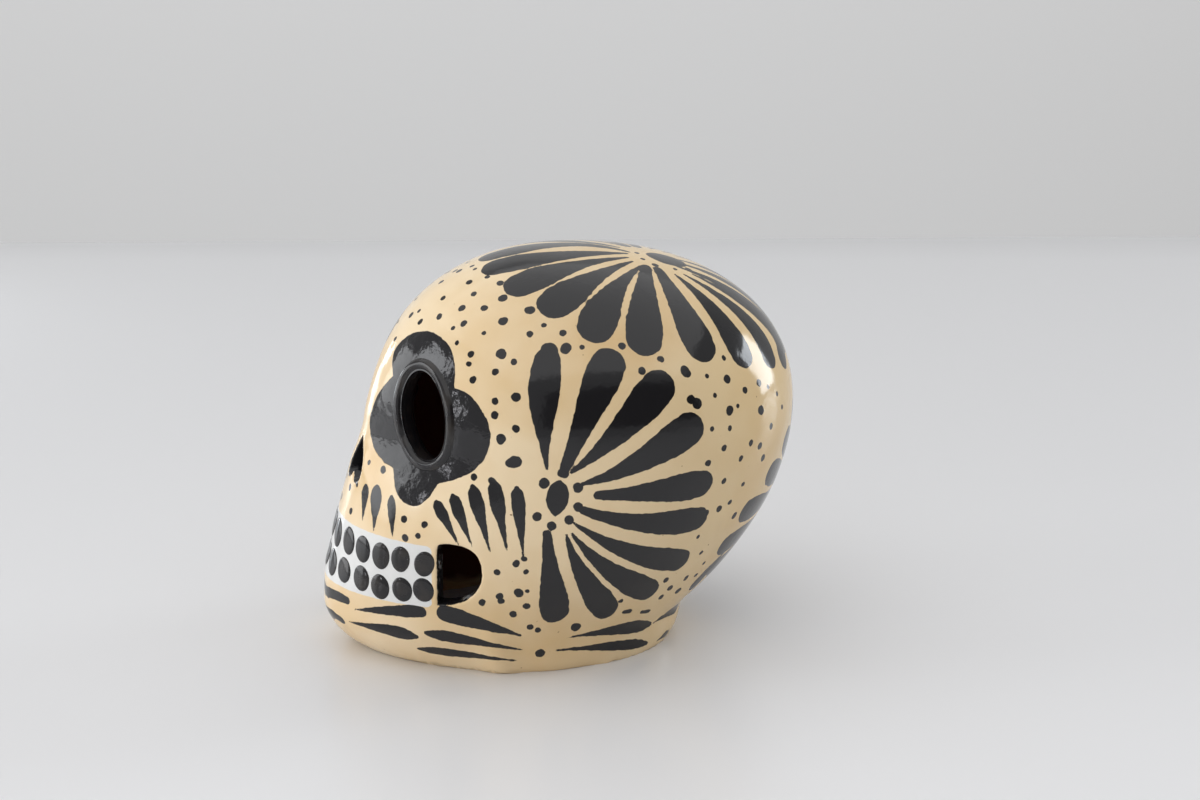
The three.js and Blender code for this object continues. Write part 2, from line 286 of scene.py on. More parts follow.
# %% [markdown]
# ## Outlines of the holes
#
# The potter cuts the holes with a knife while the clay is soft: an oval for each eye, an
# upside-down heart for the nose and a D behind each end of the mouth. Their outlines are
# drawn flat, as ovals and Bezier curves, and stood on the skin afterwards.

# %% Flat outlines
def bezier(start, pull_a, pull_b, end, steps=10):
    """Points of a Bezier curve, without its first one."""
    t = np.linspace(0, 1, steps + 1)[1:, None]
    start, pull_a, pull_b, end = (np.array(p, float) for p in (start, pull_a, pull_b, end))
    a = start * (1 - t) ** 3 + 3 * pull_a * t * (1 - t) ** 2
    return a + 3 * pull_b * t * t * (1 - t) + end * t**3


def eye_outline(grow=0.0):
    round_angles = np.linspace(0, 2 * math.pi, 72, endpoint=False)
    wide, tall = EYE_WIDTH / 2 + grow, EYE_HEIGHT / 2 + grow
    return np.stack([wide * np.cos(round_angles), tall * np.sin(round_angles)], -1)


def nose_outline():
    w, t = NOSE_WIDTH / 2, NOSE_HEIGHT / 2
    right = bezier((0, t), (w / 2, t / 2), (w, 0), (w, -t / 2))
    lobe = bezier((w, -t / 2), (w, -t), (w / 4, -t), (0, -t / 2))
    half = np.concatenate([right, lobe])
    other = half[-2::-1] * (-1, 1)
    return np.concatenate([half, other, [(0, t)]])


def window_outline(side):
    w, t = side * WINDOW_WIDTH / 2, WINDOW_HEIGHT / 2
    low = bezier((-w, -t), (w / 2, -t), (w, -t / 3), (w, t / 8), 14)
    high = bezier((w, t / 8), (w, t * 0.8), (w / 2, t), (-w * 0.35, t), 14)
    corner = bezier((-w * 0.35, t), (-w * 0.8, t), (-w, t * 0.95), (-w, t * 0.75), 6)
    return np.concatenate([[(-w, -t)], low, high, corner])


def outline_distance(points, outline):
    """Signed distance of flat points to a closed outline, negative inside."""
    ends = np.roll(outline, -1, axis=0)
    nearest = np.full(len(points), np.inf)
    inside = np.zeros(len(points), bool)
    for a, b in zip(outline, ends):
        edge, offset = b - a, points - a
        t = np.clip(offset @ edge / max(edge @ edge, 1e-12), 0, 1)
        nearest = np.minimum(nearest, np.linalg.norm(offset - t[:, None] * edge, axis=1))
        crosses = (a[1] > points[:, 1]) != (b[1] > points[:, 1])
        rise = edge[1] if edge[1] else 1e-12
        inside ^= crosses & (points[:, 0] < a[0] + (points[:, 1] - a[1]) * edge[0] / rise)
    return np.where(inside, -nearest, nearest)


LIP = 0.7
holes = [(nose_outline(), nose_frame)]
for side in (1, -1):
    holes.append((window_outline(side), window_frame(side)))


def hole_distance(points, outline, place, reach=9.0):
    """Distance to one hole's edge over the skin, or a large number away from it."""
    local = to_frame(points, place)
    far = np.full(len(points), reach)
    near = (np.abs(local[:, 2]) < reach) & (np.linalg.norm(local[:, :2], axis=1) < 2 * reach)
    far[near] = outline_distance(local[near][:, :2], outline)
    return far


eye_holes = [(eye_outline(), eye_frame(1)), (eye_outline(), eye_frame(-1))]


def drop_lips(points):
    """Rolls the skin inwards at the holes' edges, as wet glaze and a thumb round them."""
    for outline, place in holes:
        edge = np.clip(hole_distance(points, outline, place), 0, LIP)
        drop = LIP - np.sqrt(np.maximum(LIP**2 - (LIP - edge) ** 2, 0))
        points = points - drop[:, None] * place[1][2]
    return points


print("holes to cut:", len(holes + eye_holes))

# %% [markdown]
# ## The camera
#
# The paint is placed from the photograph, so the camera is needed first: a point of the
# picture is sent back through the camera until it meets the skin. The camera looks from the
# skull's left, a little from above, with a long lens.

# %% Camera at the photograph's angle
PHOTO_WIDTH, PHOTO_HEIGHT = 1200, 800
CAMERA_TURN, CAMERA_LIFT = math.radians(72), math.radians(18)
CAMERA_DISTANCE = 603
AIM = np.array([0, 0.8, 41.5])
AIM_PIXEL = np.array([560.5, 431.0])
LENS_PIXELS = 2899
SENSOR = 36

sight = np.array([
    math.sin(CAMERA_TURN) * math.cos(CAMERA_LIFT),
    -math.cos(CAMERA_TURN) * math.cos(CAMERA_LIFT),
    math.sin(CAMERA_LIFT),
])
picture_right = np.array([math.cos(CAMERA_TURN), math.sin(CAMERA_TURN), 0])
picture_up = np.cross(sight, picture_right)
eye_place = AIM + CAMERA_DISTANCE * sight

bpy.ops.object.camera_add(location=Vector(eye_place) * MM)
camera = bpy.context.object
camera.name = "photo_camera"
camera.rotation_mode = "QUATERNION"
camera.rotation_quaternion = Matrix([picture_right, picture_up, sight]).transposed().to_quaternion()
camera.data.sensor_width = SENSOR
camera.data.lens = LENS_PIXELS / PHOTO_WIDTH * SENSOR
camera.data.shift_x = (PHOTO_WIDTH / 2 - AIM_PIXEL[0]) / PHOTO_WIDTH
camera.data.shift_y = (AIM_PIXEL[1] - PHOTO_HEIGHT / 2) / PHOTO_WIDTH
camera.data.clip_start = 0.01
bpy.context.scene.camera = camera
print("lens", round(camera.data.lens, 1), "mm")


# %% [markdown]
# ## Wrapping a ball round the skull
#
# The skin starts as an ico sphere, because its triangles are all alike and paint edges
# come out equally fine everywhere. Each point of the ball is sent to the skull: its
# compass direction stays, its latitude becomes a height, and what lies far below becomes
# a floor that the base is cut through later.

# %% Ball to skull
FLOOR_LATITUDE = math.radians(62)
FLOOR_SLOPE = 6


def wrap(ball, offset=0.0, floor_depth=3.0):
    """Skull points in millimetres for points of a unit ball."""
    angle = np.arctan2(ball[:, 0], -ball[:, 1])
    latitude = np.arcsin(np.clip(-ball[:, 2], -1, 1))
    below = np.clip(latitude / FLOOR_LATITUDE, 0, 1)
    high = BROW_HEIGHT + (SKULL_HEIGHT - BROW_HEIGHT) * np.clip(ball[:, 2], 0, 0.99999)
    height = np.where(latitude < 0, high, BROW_HEIGHT * (1 - below))
    points = skin_point(angle, height)
    if offset:
        points = points + skin_normal(angle, height) * offset
    sunk = latitude > FLOOR_LATITUDE
    shrink = np.clip((latitude - FLOOR_LATITUDE) / (math.pi / 2 - FLOOR_LATITUDE), 0, 1)
    middle = np.array([0, float(level_outline(0)[2]), 0])
    floor = middle + (points - middle) * (1 - shrink)[:, None]
    floor[:, 2] = -floor_depth * np.minimum(1, FLOOR_SLOPE * shrink)
    return np.where(sunk[:, None], floor, points)


# %% Helpers that read and write a mesh
def deselect_all():
    bpy.ops.object.select_all(action="DESELECT")


def pick(thing):
    """Makes one object the only selected and active one."""
    deselect_all()
    thing.hide_set(False)
    thing.select_set(True)
    bpy.context.view_layer.objects.active = thing


def read_points(thing):
    flat = np.zeros(len(thing.data.vertices) * 3, np.float32)
    thing.data.vertices.foreach_get("co", flat)
    return flat.reshape(-1, 3).astype(float)


def write_points(thing, points):
    thing.data.vertices.foreach_set("co", np.asarray(points, np.float32).ravel())
    thing.data.update()


def edit(thing, mode="FACE"):
    pick(thing)
    bpy.ops.object.mode_set(mode="EDIT")
    bpy.ops.mesh.select_mode(type=mode)


def leave_edit():
    bpy.ops.object.mode_set(mode="OBJECT")


def face_outwards(thing):
    """Turns every face of a closed mesh outwards."""
    edit(thing)
    bpy.ops.mesh.select_all(action="SELECT")
    bpy.ops.mesh.normals_make_consistent(inside=False)
    leave_edit()


def add_ball(name, detail):
    deselect_all()
    bpy.ops.mesh.primitive_ico_sphere_add(subdivisions=detail, radius=1)
    ball = bpy.context.object
    ball.name = name
    return ball


def triangles_of(thing):
    flat = np.zeros(len(thing.data.polygons) * 3, np.int32)
    thing.data.polygons.foreach_get("vertices", flat)
    return flat.reshape(-1, 3)


# %% A smooth skin to paint on
canvas_ball = add_ball("canvas_ball", 6)
canvas_points = wrap(read_points(canvas_ball))
canvas = BVHTree.FromPolygons(canvas_points.tolist(), triangles_of(canvas_ball).tolist())
bpy.data.objects.remove(canvas_ball)
SEARCH_FAR = range(520, 690, 4)


def at_pixel(x, y):
    """The skin's point behind one pixel of the photograph, or the nearest one beside it."""
    ray = picture_right * (x - AIM_PIXEL[0]) / LENS_PIXELS
    ray = ray - picture_up * (y - AIM_PIXEL[1]) / LENS_PIXELS - sight
    ray /= np.linalg.norm(ray)
    hit = canvas.ray_cast(Vector(eye_place), Vector(ray))[0]
    if hit is None:
        passes = [Vector(eye_place + ray * far) for far in SEARCH_FAR]
        hit = min((canvas.find_nearest(place) for place in passes), key=lambda near: near[3])[0]
    return np.array(hit)


def at_back(x, z):
    """The skin's point at the back of the skull, for a place seen from behind."""
    return np.array(canvas.ray_cast(Vector((x, 2 * SKULL_LENGTH, z)), Vector((0, -1, 0)))[0])


def on_skin(point):
    """The nearest point of the skin."""
    return np.array(canvas.find_nearest(Vector(point))[0])


print("ear flower sits at", at_pixel(557, 498).round(1))

# %% [markdown]
# ## Brushwork
#
# Every petal, leaf and dot is one touch of a round brush. A stroke has a thin end, a thick
# end and a width, and it follows the skin between them. It is kept as a row of discs whose
# radii swell and shrink as the brush was pressed. Later each point of the skin is told how
# far it is from the nearest stroke, and the finish turns that distance into crisp paint.
#
# Strokes that the photograph shows are placed by its pixels. The skull's right side repeats
# the left with small shifts, as a painter's hand does.

# %% The swell of each kind of stroke, from its thin end to its thick end
PETAL_SHARES = [(0, 0.1), (0.2, 0.33), (0.4, 0.59), (0.6, 0.82), (0.78, 1), (1, 0.9)]
LEAN_PETAL_SHARES = [(0, 0.08), (0.2, 0.24), (0.4, 0.46), (0.6, 0.76), (0.78, 1), (1, 0.9)]
BLUNT_SHARES = [(0, 0.28), (0.2, 0.42), (0.4, 0.62), (0.6, 0.84), (0.78, 1), (1, 0.86)]
LEAF_PETAL_SHARES = [(0, 0.08), (0.2, 0.34), (0.4, 0.7), (0.62, 1), (0.82, 0.92), (1, 0.45)]
LEAF_SHARES = [(0, 0.08), (0.22, 0.62), (0.45, 1), (0.62, 0.96), (0.84, 0.5), (1, 0.1)]
LEAN_LEAF_SHARES = [(0, 0.06), (0.3, 0.4), (0.6, 0.86), (0.78, 1), (0.92, 0.7), (1, 0.3)]
DASH_SHARES = [(0, 0.8), (0.5, 1), (1, 0.85)]
STROKE_STEPS = 12
LONGEST_END_SHARE = 0.4
DOT_WOBBLE_SHARE = 0.28
DOT_END_SHARE = 0.93

strokes = []
hand = random.Random(11)


def add_stroke(path, width, shares=PETAL_SHARES):
    """Lays one stroke along a row of points on the skin, from its thin to its thick end."""
    walked = np.concatenate([[0], np.cumsum(np.linalg.norm(np.diff(path, axis=0), axis=1))])
    end_radius = min(shares[-1][1] * width / 2, LONGEST_END_SHARE * walked[-1])
    at = np.linspace(0, 1, STROKE_STEPS) * (walked[-1] - end_radius)
    even = np.stack([np.interp(at, walked, path[:, axis]) for axis in range(3)], -1)
    strokes.append((even, follow(shares, at / walked[-1]) * width / 2))


def trace(*pixels):
    """Points on the skin under a line of the photograph, straight or bent through a third."""
    t = np.linspace(0, 1, STROKE_STEPS)[:, None]
    start, end = np.array(pixels[0], float), np.array(pixels[-1], float)
    line = start + (end - start) * t
    if len(pixels) == 3:
        bow = np.array(pixels[1], float) - (start + end) / 2
        line = line + 4 * t * (1 - t) * bow
    return np.array([at_pixel(x, y) for x, y in line])


def between(start, end):
    """Points on the skin along the shortest way between two of its points."""
    t = np.linspace(0, 1, STROKE_STEPS)[:, None]
    return np.array([on_skin(p) for p in start + (end - start) * t])


def add_dot(point, radius):
    """A dot is a very short stroke, so that it is never quite round."""
    wobble = np.array([hand.uniform(-1, 1) for _ in range(3)]) * radius * DOT_WOBBLE_SHARE
    ends = np.array([on_skin(point), on_skin(point + wobble)])
    strokes.append((ends, np.array([1, DOT_END_SHARE]) * radius))


def mirrored(path, drift=0.5):
    """The same places on the right side, a little off."""
    off = np.array([hand.uniform(-drift, drift) for _ in range(3)])
    path = np.atleast_2d(path) * (-1, 1, 1) + off
    return np.array([on_skin(p) for p in path])


def add_pair(pixels, width, shares=PETAL_SHARES):
    """A stroke traced on the photograph, and its fellow on the right side."""
    path = trace(*pixels)
    add_stroke(path, width, shares)
    add_stroke(mirrored(path), width, shares)


# %% The half flower round each ear: pixels from root to tip, width and swell
EAR_BUD = ((555, 516), (560, 480)), 4.4
EAR_PETALS = [
    (((547, 469), (543.5, 402), (550.5, 344)), 6.3, LEAF_PETAL_SHARES),
    (((564.5, 470), (588.5, 411), (614, 351)), 7.5, BLUNT_SHARES),
    (((571.5, 472), (617, 434), (668, 375)), 7.4, PETAL_SHARES),
    (((582.5, 484), (639.5, 461.5), (701, 420)), 7.1, PETAL_SHARES),
    (((598, 495.5), (653, 491.5), (711.5, 482)), 6.5, BLUNT_SHARES),
    (((583.5, 510.5), (645, 523), (706.5, 517)), 6.1, BLUNT_SHARES),
    (((574, 523), (630, 552), (687.5, 560)), 5.8, PETAL_SHARES),
    (((572, 534), (608, 569), (654.5, 593)), 5.9, PETAL_SHARES),
    (((566.5, 535), (581.5, 573), (611, 615)), 5.9, PETAL_SHARES),
    (((547, 534), (551, 577), (556.5, 621)), 6.2, BLUNT_SHARES),
]
EAR_DOTS = [(544, 483), (564, 473), (578, 488), (578, 507), (569, 520), (552, 526), (537, 517)]
add_pair(*EAR_BUD, LEAF_SHARES)
for pixels, width, shares in EAR_PETALS:
    add_pair(pixels, width, shares)
print("strokes after the ears:", len(strokes))

# %% The flower on the crown
CROWN_CENTRE_PIXEL = (666, 259.5)
CROWN_BUD = ((647, 254), (685, 264))
CROWN_PETALS = [
    (((629, 252), (556, 244.5), (479, 259.5)), 7.0, PETAL_SHARES),
    (((627, 253.5), (555, 256), (482, 270)), 7.2, PETAL_SHARES),
    (((628, 257.5), (566, 268), (506, 291.5)), 7.4, LEAN_PETAL_SHARES),
    (((632, 261.5), (588, 281), (543, 313.5)), 7.8, LEAN_PETAL_SHARES),
    (((641, 266), (611, 296), (591, 341)), 7.8, LEAN_PETAL_SHARES),
    (((646, 267), (645, 300), (644, 354)), 7.9, BLUNT_SHARES),
    (((658, 269.5), (682, 309), (707, 360)), 7.6, BLUNT_SHARES),
    (((675, 274.5), (719, 317), (747, 367)), 6.6, PETAL_SHARES),
    (((684, 274.5), (747, 320), (771, 368)), 5.8, PETAL_SHARES),
    (((692, 274), (763, 320), (782, 365)), 5.2, PETAL_SHARES),
]
HIDDEN_FROM = 3
HIDDEN_STRETCH = 1.2
FAR_PETALS = [(8, 11.8, 58), (5.5, 5, 58.5), (3, -2, 58.5)]
FAR_ROOT_HEIGHT, FAR_PETAL_WIDTH = 77, 6.2
crown_centre = at_pixel(*CROWN_CENTRE_PIXEL)
add_stroke(trace(*CROWN_BUD), 6.4, LEAF_SHARES)
for number, (pixels, width, shares) in enumerate(CROWN_PETALS):
    path = trace(*pixels)
    add_stroke(path, width, shares)
    if number >= HIDDEN_FROM:
        path[:, 0] = crown_centre[0] - (path[:, 0] - crown_centre[0]) * HIDDEN_STRETCH
        add_stroke(np.array([on_skin(p) for p in path]), width, shares)
for root_x, x, z in FAR_PETALS:
    add_stroke(between(at_back(root_x, FAR_ROOT_HEIGHT), at_back(x, z)), FAR_PETAL_WIDTH)
print("strokes after the crown:", len(strokes))

# %% The round flower on the back of the head
BACK_CENTRE = (0, 29)
BACK_PETALS = 20
BACK_ROOT, BACK_TIP, BACK_PETAL_WIDTH = 6, 27, 6.3
BACK_SQUASH = 0.93
BACK_TURN_JITTER = 0.02
BACK_DOTS, BACK_DOT_REACH = 9, 4.4
BACK_BUD_HALF, BACK_BUD_WIDTH = 2.8, 3.6
EDGE_PETAL, EDGE_PETAL_WIDTH = ((726, 550), (690, 590)), 3.8


def back_place(turn, reach):
    """A point at the back, at a clock angle and a distance from the flower's middle."""
    x = BACK_CENTRE[0] + reach * math.sin(turn)
    z = BACK_CENTRE[1] + reach * math.cos(turn) * BACK_SQUASH
    return at_back(x, z)


for number in range(BACK_PETALS):
    jitter = hand.uniform(-BACK_TURN_JITTER, BACK_TURN_JITTER)
    turn = 2 * math.pi * number / BACK_PETALS + jitter
    tip_reach = BACK_TIP + hand.uniform(-0.8, 0.5) - 2 * abs(math.cos(turn))
    path = between(back_place(turn, BACK_ROOT), back_place(turn, tip_reach))
    add_stroke(path, BACK_PETAL_WIDTH)
back_bud = between(back_place(-1.4, BACK_BUD_HALF), back_place(1.6, BACK_BUD_HALF))
add_stroke(back_bud, BACK_BUD_WIDTH, LEAF_SHARES)
add_pair(EDGE_PETAL, EDGE_PETAL_WIDTH)
for number in range(BACK_DOTS):
    place = back_place(2 * math.pi * number / BACK_DOTS, BACK_DOT_REACH)
    add_dot(place, hand.uniform(0.5, 0.75))
print("strokes after the back:", len(strokes))

# %% Leaves beside the nose, on the cheeks and along the jaw
CHEEK_SHARES = [(0, 0.08), (0.25, 0.34), (0.5, 0.7), (0.72, 1), (0.88, 0.88), (1, 0.3)]
NOSE_LEAVES = [
    ((362.5, 520.5), (366, 485), 2.6), ((373.6, 531), (376.8, 487), 3.5), ((392.5, 541), (391.5, 496), 2.3),
]
CHEEK_STROKES = [
    ((458.5, 545), (435.5, 501), 2.5), ((472.5, 547.5), (452, 494), 2.7),
    ((490, 552), (472, 485), 3.0), ((507, 551), (493, 480), 3.2), ((523.5, 557), (516.5, 486), 2.9),
]
JAW_LEAVES = [
    ((349, 621.5), (418, 637), 3.2), ((522, 650), (424, 632.5), 2.9), ((522, 661.5), (417, 648.5), 2.5),
    ((565, 638), (651, 624), 3.2), ((548, 651), (648, 643), 2.5), ((652, 624), (678, 606.5), 2.8),
    ((656, 641.5), (668, 632), 1.8),
]
JAW_TOUCHES = [
    ((355, 609.5), (426, 612), 2.8, PETAL_SHARES), ((521, 635.5), (437, 611), 3.9, PETAL_SHARES),
    ((347, 600.5), (325, 590), 2.2, DASH_SHARES), ((342.5, 620.5), (326.5, 609.5), 2.2, DASH_SHARES),
]
for start, end, width in NOSE_LEAVES + JAW_LEAVES:
    add_pair((start, end), width, LEAN_LEAF_SHARES)
for start, end, width in CHEEK_STROKES:
    add_pair((start, end), width, CHEEK_SHARES)
for start, end, width, shares in JAW_TOUCHES:
    add_pair((start, end), width, shares)
print("strokes after the jaw:", len(strokes))

# %% Dots: large, middle and small touches of the brush tip
SMALL, MIDDLE, LARGE = 0.52, 0.73, 1.0
SMALL_DOTS = [
    (461, 262), (472, 266), (450, 270), (475, 269), (487, 277), (432, 283), (416, 299), (419, 311),
    (544, 325), (453, 328), (484, 333), (398, 322), (395, 339), (457, 343), (582, 347), (469, 364),
    (365, 402), (369, 463), (357, 485), (707, 376), (724, 358), (715, 395), (738, 406), (712, 429),
    (730, 428), (730, 502), (698, 537), (701, 553), (704, 563), (768, 387), (777, 394),
    (782, 407), (743, 484), (524, 559), (526, 572), (527, 591), (696, 575), (621, 601),
    (637, 253), (643, 259), (675, 269),
]
MIDDLE_DOTS = [
    (459, 271), (500, 283), (441, 282), (469, 282), (474, 294), (443, 298), (411, 315), (420, 322),
    (462, 308), (484, 308), (439, 317), (464, 323), (530, 334), (563, 333), (622, 346), (471, 354),
    (514, 362), (495, 372), (473, 380), (495, 401), (495, 415), (516, 429), (474, 477), (492, 481),
    (383, 470), (350, 487), (351, 511), (404, 519), (424, 525), (418, 536), (405, 538), (661, 359),
    (642, 371), (708, 463), (724, 481), (719, 509), (706, 513), (734, 516), (745, 390), (759, 383),
    (771, 426), (751, 443), (760, 446), (763, 458), (516, 564), (497, 572), (500, 596), (501, 601),
    (482, 603), (527, 606), (513, 614), (530, 627), (538, 630), (666, 580), (670, 588), (686, 578),
    (678, 591), (661, 597), (655, 265), (688, 269), (724, 448), (741, 458),
]
LARGE_DOTS = [
    (503, 298), (530, 310), (503, 321), (566, 348), (501, 354), (516, 397), (501, 439), (685, 371),
    (727, 379), (730, 410), (761, 410), (519, 593), (576, 627), (540, 653), (691, 399.5),
    (697, 403.5),
]
DASHES = [((510, 463), (520, 461), 2.4), ((624, 612), (632, 611), 1.2), ((642, 612), (650, 611), 1.0)]

ROOM_ROUND_DOT = 2.0
DOT_DRIFT, EAR_DOT_DRIFT = 1.2, 0.3
RIGHT_SIDE_FROM = -4


def is_clear(place):
    """Whether a dot at this place would keep off every stroke."""
    gaps = [np.linalg.norm(path - place, axis=1).min() - radii.max() for path, radii in strokes]
    return min(gaps) > ROOM_ROUND_DOT / 2


for radius, pixels in ((SMALL, SMALL_DOTS), (MIDDLE, MIDDLE_DOTS), (LARGE, LARGE_DOTS + EAR_DOTS)):
    for pixel in pixels:
        add_dot(at_pixel(*pixel), radius * hand.uniform(0.92, 1.1))
for radius, pixels in ((SMALL, SMALL_DOTS), (MIDDLE, MIDDLE_DOTS), (LARGE, LARGE_DOTS)):
    for pixel in pixels:
        fellow = mirrored(at_pixel(*pixel), DOT_DRIFT)[0]
        if fellow[0] < RIGHT_SIDE_FROM and is_clear(fellow):
            add_dot(fellow, radius * hand.uniform(0.85, 1.15))
for pixel in EAR_DOTS:
    fellow = mirrored(at_pixel(*pixel), EAR_DOT_DRIFT)[0]
    add_dot(fellow, LARGE * hand.uniform(0.85, 1.1))
for start, end, width in DASHES:
    add_pair((start, end), width, DASH_SHARES)
print("strokes after the dots:", len(strokes))

# %% [markdown]
# ## The black flower round each eye
#
# Four lobes run together round the eye hole. Their edge is drawn on the photograph lobe by
# lobe, with a few points on each, and a smooth curve joins them between the notches.

# %% Eye flower
EYE_LOBES = [
    [
        (393, 376), (392.5, 360), (396, 348), (406, 337), (422, 331), (437, 334.5), (449, 346),
        (454.5, 362), (454.5, 388),
    ],
    [
        (454.5, 388), (469, 394.5), (481, 409), (489, 426), (490, 441), (485, 458), (473, 471),
        (457, 479), (438, 483.5),
    ],
    [(438, 483.5), (432, 493), (424, 502), (414.5, 506.5), (404, 502), (396, 491), (393, 468)],
    [
        (393, 468), (383, 461), (374.5, 449), (370.5, 434), (370, 419), (375, 401), (383, 387),
        (393, 376),
    ],
]
LOBE_STEPS = 4


def smooth_line(points, steps):
    """Points on a smooth line that passes through the given ones."""
    points = np.array(points, float)
    before = np.vstack([2 * points[0] - points[1], points[:-1]])
    after = np.vstack([points[1:], 2 * points[-1] - points[-2]])
    tangent = (after - before) / 2
    line = []
    for i in range(len(points) - 1):
        for t in np.arange(steps) / steps:
            a = (2 * t**3 - 3 * t**2 + 1) * points[i] + (t**3 - 2 * t**2 + t) * tangent[i]
            b = (3 * t**2 - 2 * t**3) * points[i + 1] + (t**3 - t**2) * tangent[i + 1]
            line.append(a + b)
    return line


FLOWER_SHIFT = 1.2
NOSE_EDGE_SHARE, WINDOW_EDGE_SHARE = 1.12, 1.04
flower_pixels = [pixel for lobe in EYE_LOBES for pixel in smooth_line(lobe, LOBE_STEPS)]
flower_points = np.array([at_pixel(*pixel) for pixel in flower_pixels])
left_flower = to_frame(flower_points, eye_frame(1))[:, :2]
right_flower = left_flower * (-1, 1) - (FLOWER_SHIFT, 0)
flowers = [(left_flower, eye_frame(1)), (right_flower, eye_frame(-1))]
flowers.append((nose_outline() * NOSE_EDGE_SHARE, nose_frame))
for side in (1, -1):
    flowers.append((window_outline(side) * WINDOW_EDGE_SHARE, window_frame(side)))
print("eye flower is", np.ptp(left_flower, axis=0).round(1), "mm wide and tall")

# %% [markdown]
# ## The white band
#
# The teeth stand on a band of white slip that runs round the mouth between two levels and
# ends short of the cheek windows.

# %% Band distance
BAND_TOP, BAND_BOTTOM = 28.1, 15.2
BAND_END, BAND_END_SLANT = 23.9, 1.5
BAND_CORNER = 1.2
FAR = 4.0


def band_distance(points):
    """Signed distance to the white band, negative inside."""
    middle, half = (BAND_TOP + BAND_BOTTOM) / 2, (BAND_TOP - BAND_BOTTOM) / 2
    up = np.abs(points[:, 2] - middle) - half + BAND_CORNER
    aside = (np.abs(points[:, 0]) - BAND_END) * BAND_END_SLANT + BAND_CORNER
    outside = np.hypot(np.maximum(up, 0), np.maximum(aside, 0))
    distance = outside + np.minimum(np.maximum(up, aside), 0) - BAND_CORNER
    return np.where(points[:, 1] < 0, distance, FAR)


# %% Distance from every point to the nearest paint
STROKE_MARGIN = 1.5
FLOWER_REACH, FLOWER_THICKNESS = 30, 9
FLOWER_MARK = -1000


def paint_distance(points):
    """Signed distance to the black paint, and where in its stroke each point lies."""
    nearest = np.full(len(points), FAR)
    grain = np.zeros((len(points), 3))
    for number, (path, radii) in enumerate(strokes):
        centre = (path.min(0) + path.max(0)) / 2
        reach = np.linalg.norm(path - centre, axis=1).max() + radii.max() + STROKE_MARGIN
        near = np.flatnonzero(((points - centre) ** 2).sum(1) < reach * reach)
        if not len(near):
            continue
        place = points[near]
        lengths = np.concatenate([[0], np.cumsum(np.linalg.norm(np.diff(path, axis=0), axis=1))])
        for a, b, ra, rb, gone in zip(path[:-1], path[1:], radii[:-1], radii[1:], lengths[:-1]):
            edge = b - a
            span = max(edge @ edge, 1e-9)
            t = np.clip((place - a) @ edge / span, 0, 1)
            away = place - a - t[:, None] * edge
            distance = np.linalg.norm(away, axis=1) - (ra + (rb - ra) * t)
            closer = distance < nearest[near]
            won = near[closer]
            nearest[won] = distance[closer]
            across = np.cross(a / np.linalg.norm(a), edge / math.sqrt(span))
            grain[won, 0] = gone + t[closer] * math.sqrt(span)
            grain[won, 1] = away[closer] @ across
            grain[won, 2] = number
    for outline, place in flowers:
        local = to_frame(points, place)
        beside = np.linalg.norm(local, axis=1) < FLOWER_REACH
        close = np.flatnonzero(beside & (np.abs(local[:, 2]) < FLOWER_THICKNESS))
        distance = outline_distance(local[close][:, :2], outline)
        closer = distance < nearest[close]
        won = close[closer]
        nearest[won] = distance[closer]
        grain[won] = local[won] + (0, 0, FLOWER_MARK)
    return nearest, grain


# %% [markdown]
# ## The shell
#
# The ball is split again wherever a paint edge or a hole's lip passes, so that those come
# out crisp, while plain cream stays light. Only then is it wrapped round the skull. The
# hollow and the holes are cut with Boolean modifiers, as the potter's knife does.

# %% Split the ball where detail is needed
DETAIL_PASSES = [(1.1, 1.8, False), (0.28, 0.7, False), (0.11, 0.25, True)]
shell = add_ball("painted_shell", 6)


def split_faces(thing, chosen):
    """Splits the chosen triangles into four, with their neighbours following suit."""
    bpy.context.tool_settings.mesh_select_mode = (False, False, True)
    thing.data.vertices.foreach_set("select", np.zeros(len(thing.data.vertices), bool))
    thing.data.edges.foreach_set("select", np.zeros(len(thing.data.edges), bool))
    thing.data.polygons.foreach_set("select", chosen)
    edit(thing)
    bpy.ops.mesh.subdivide(number_cuts=1)
    bpy.ops.mesh.select_all(action="SELECT")
    bpy.ops.mesh.quads_convert_to_tris()
    leave_edit()
    ball = read_points(thing)
    write_points(thing, ball / np.linalg.norm(ball, axis=1, keepdims=True))


def detail_mask(points, triangles, paint_reach, lip_reach, dots_only):
    """Which triangles lie near a paint edge or a hole's lip."""
    paint, grain = paint_distance(points)
    lips = np.full(len(points), FAR)
    for outline, place in holes + eye_holes:
        lips = np.minimum(lips, np.abs(hole_distance(points, outline, place)))
    wanted = np.abs(paint) < paint_reach
    if dots_only:
        small = np.array([len(path) == 2 or radii.max() < 1 for path, radii in strokes])
        wanted &= small[np.clip(grain[:, 2], 0, len(strokes) - 1).astype(int)]
    wanted |= lips < lip_reach
    above_floor = points[:, 2] > -1
    return (wanted & above_floor)[triangles].any(1)


for paint_reach, lip_reach, dots_only in DETAIL_PASSES:
    skull_points = wrap(read_points(shell))
    triangles = triangles_of(shell)
    split_faces(shell, detail_mask(skull_points, triangles, paint_reach, lip_reach, dots_only))
    print("triangles:", len(shell.data.polygons))

write_points(shell, drop_lips(wrap(read_points(shell))) * MM)


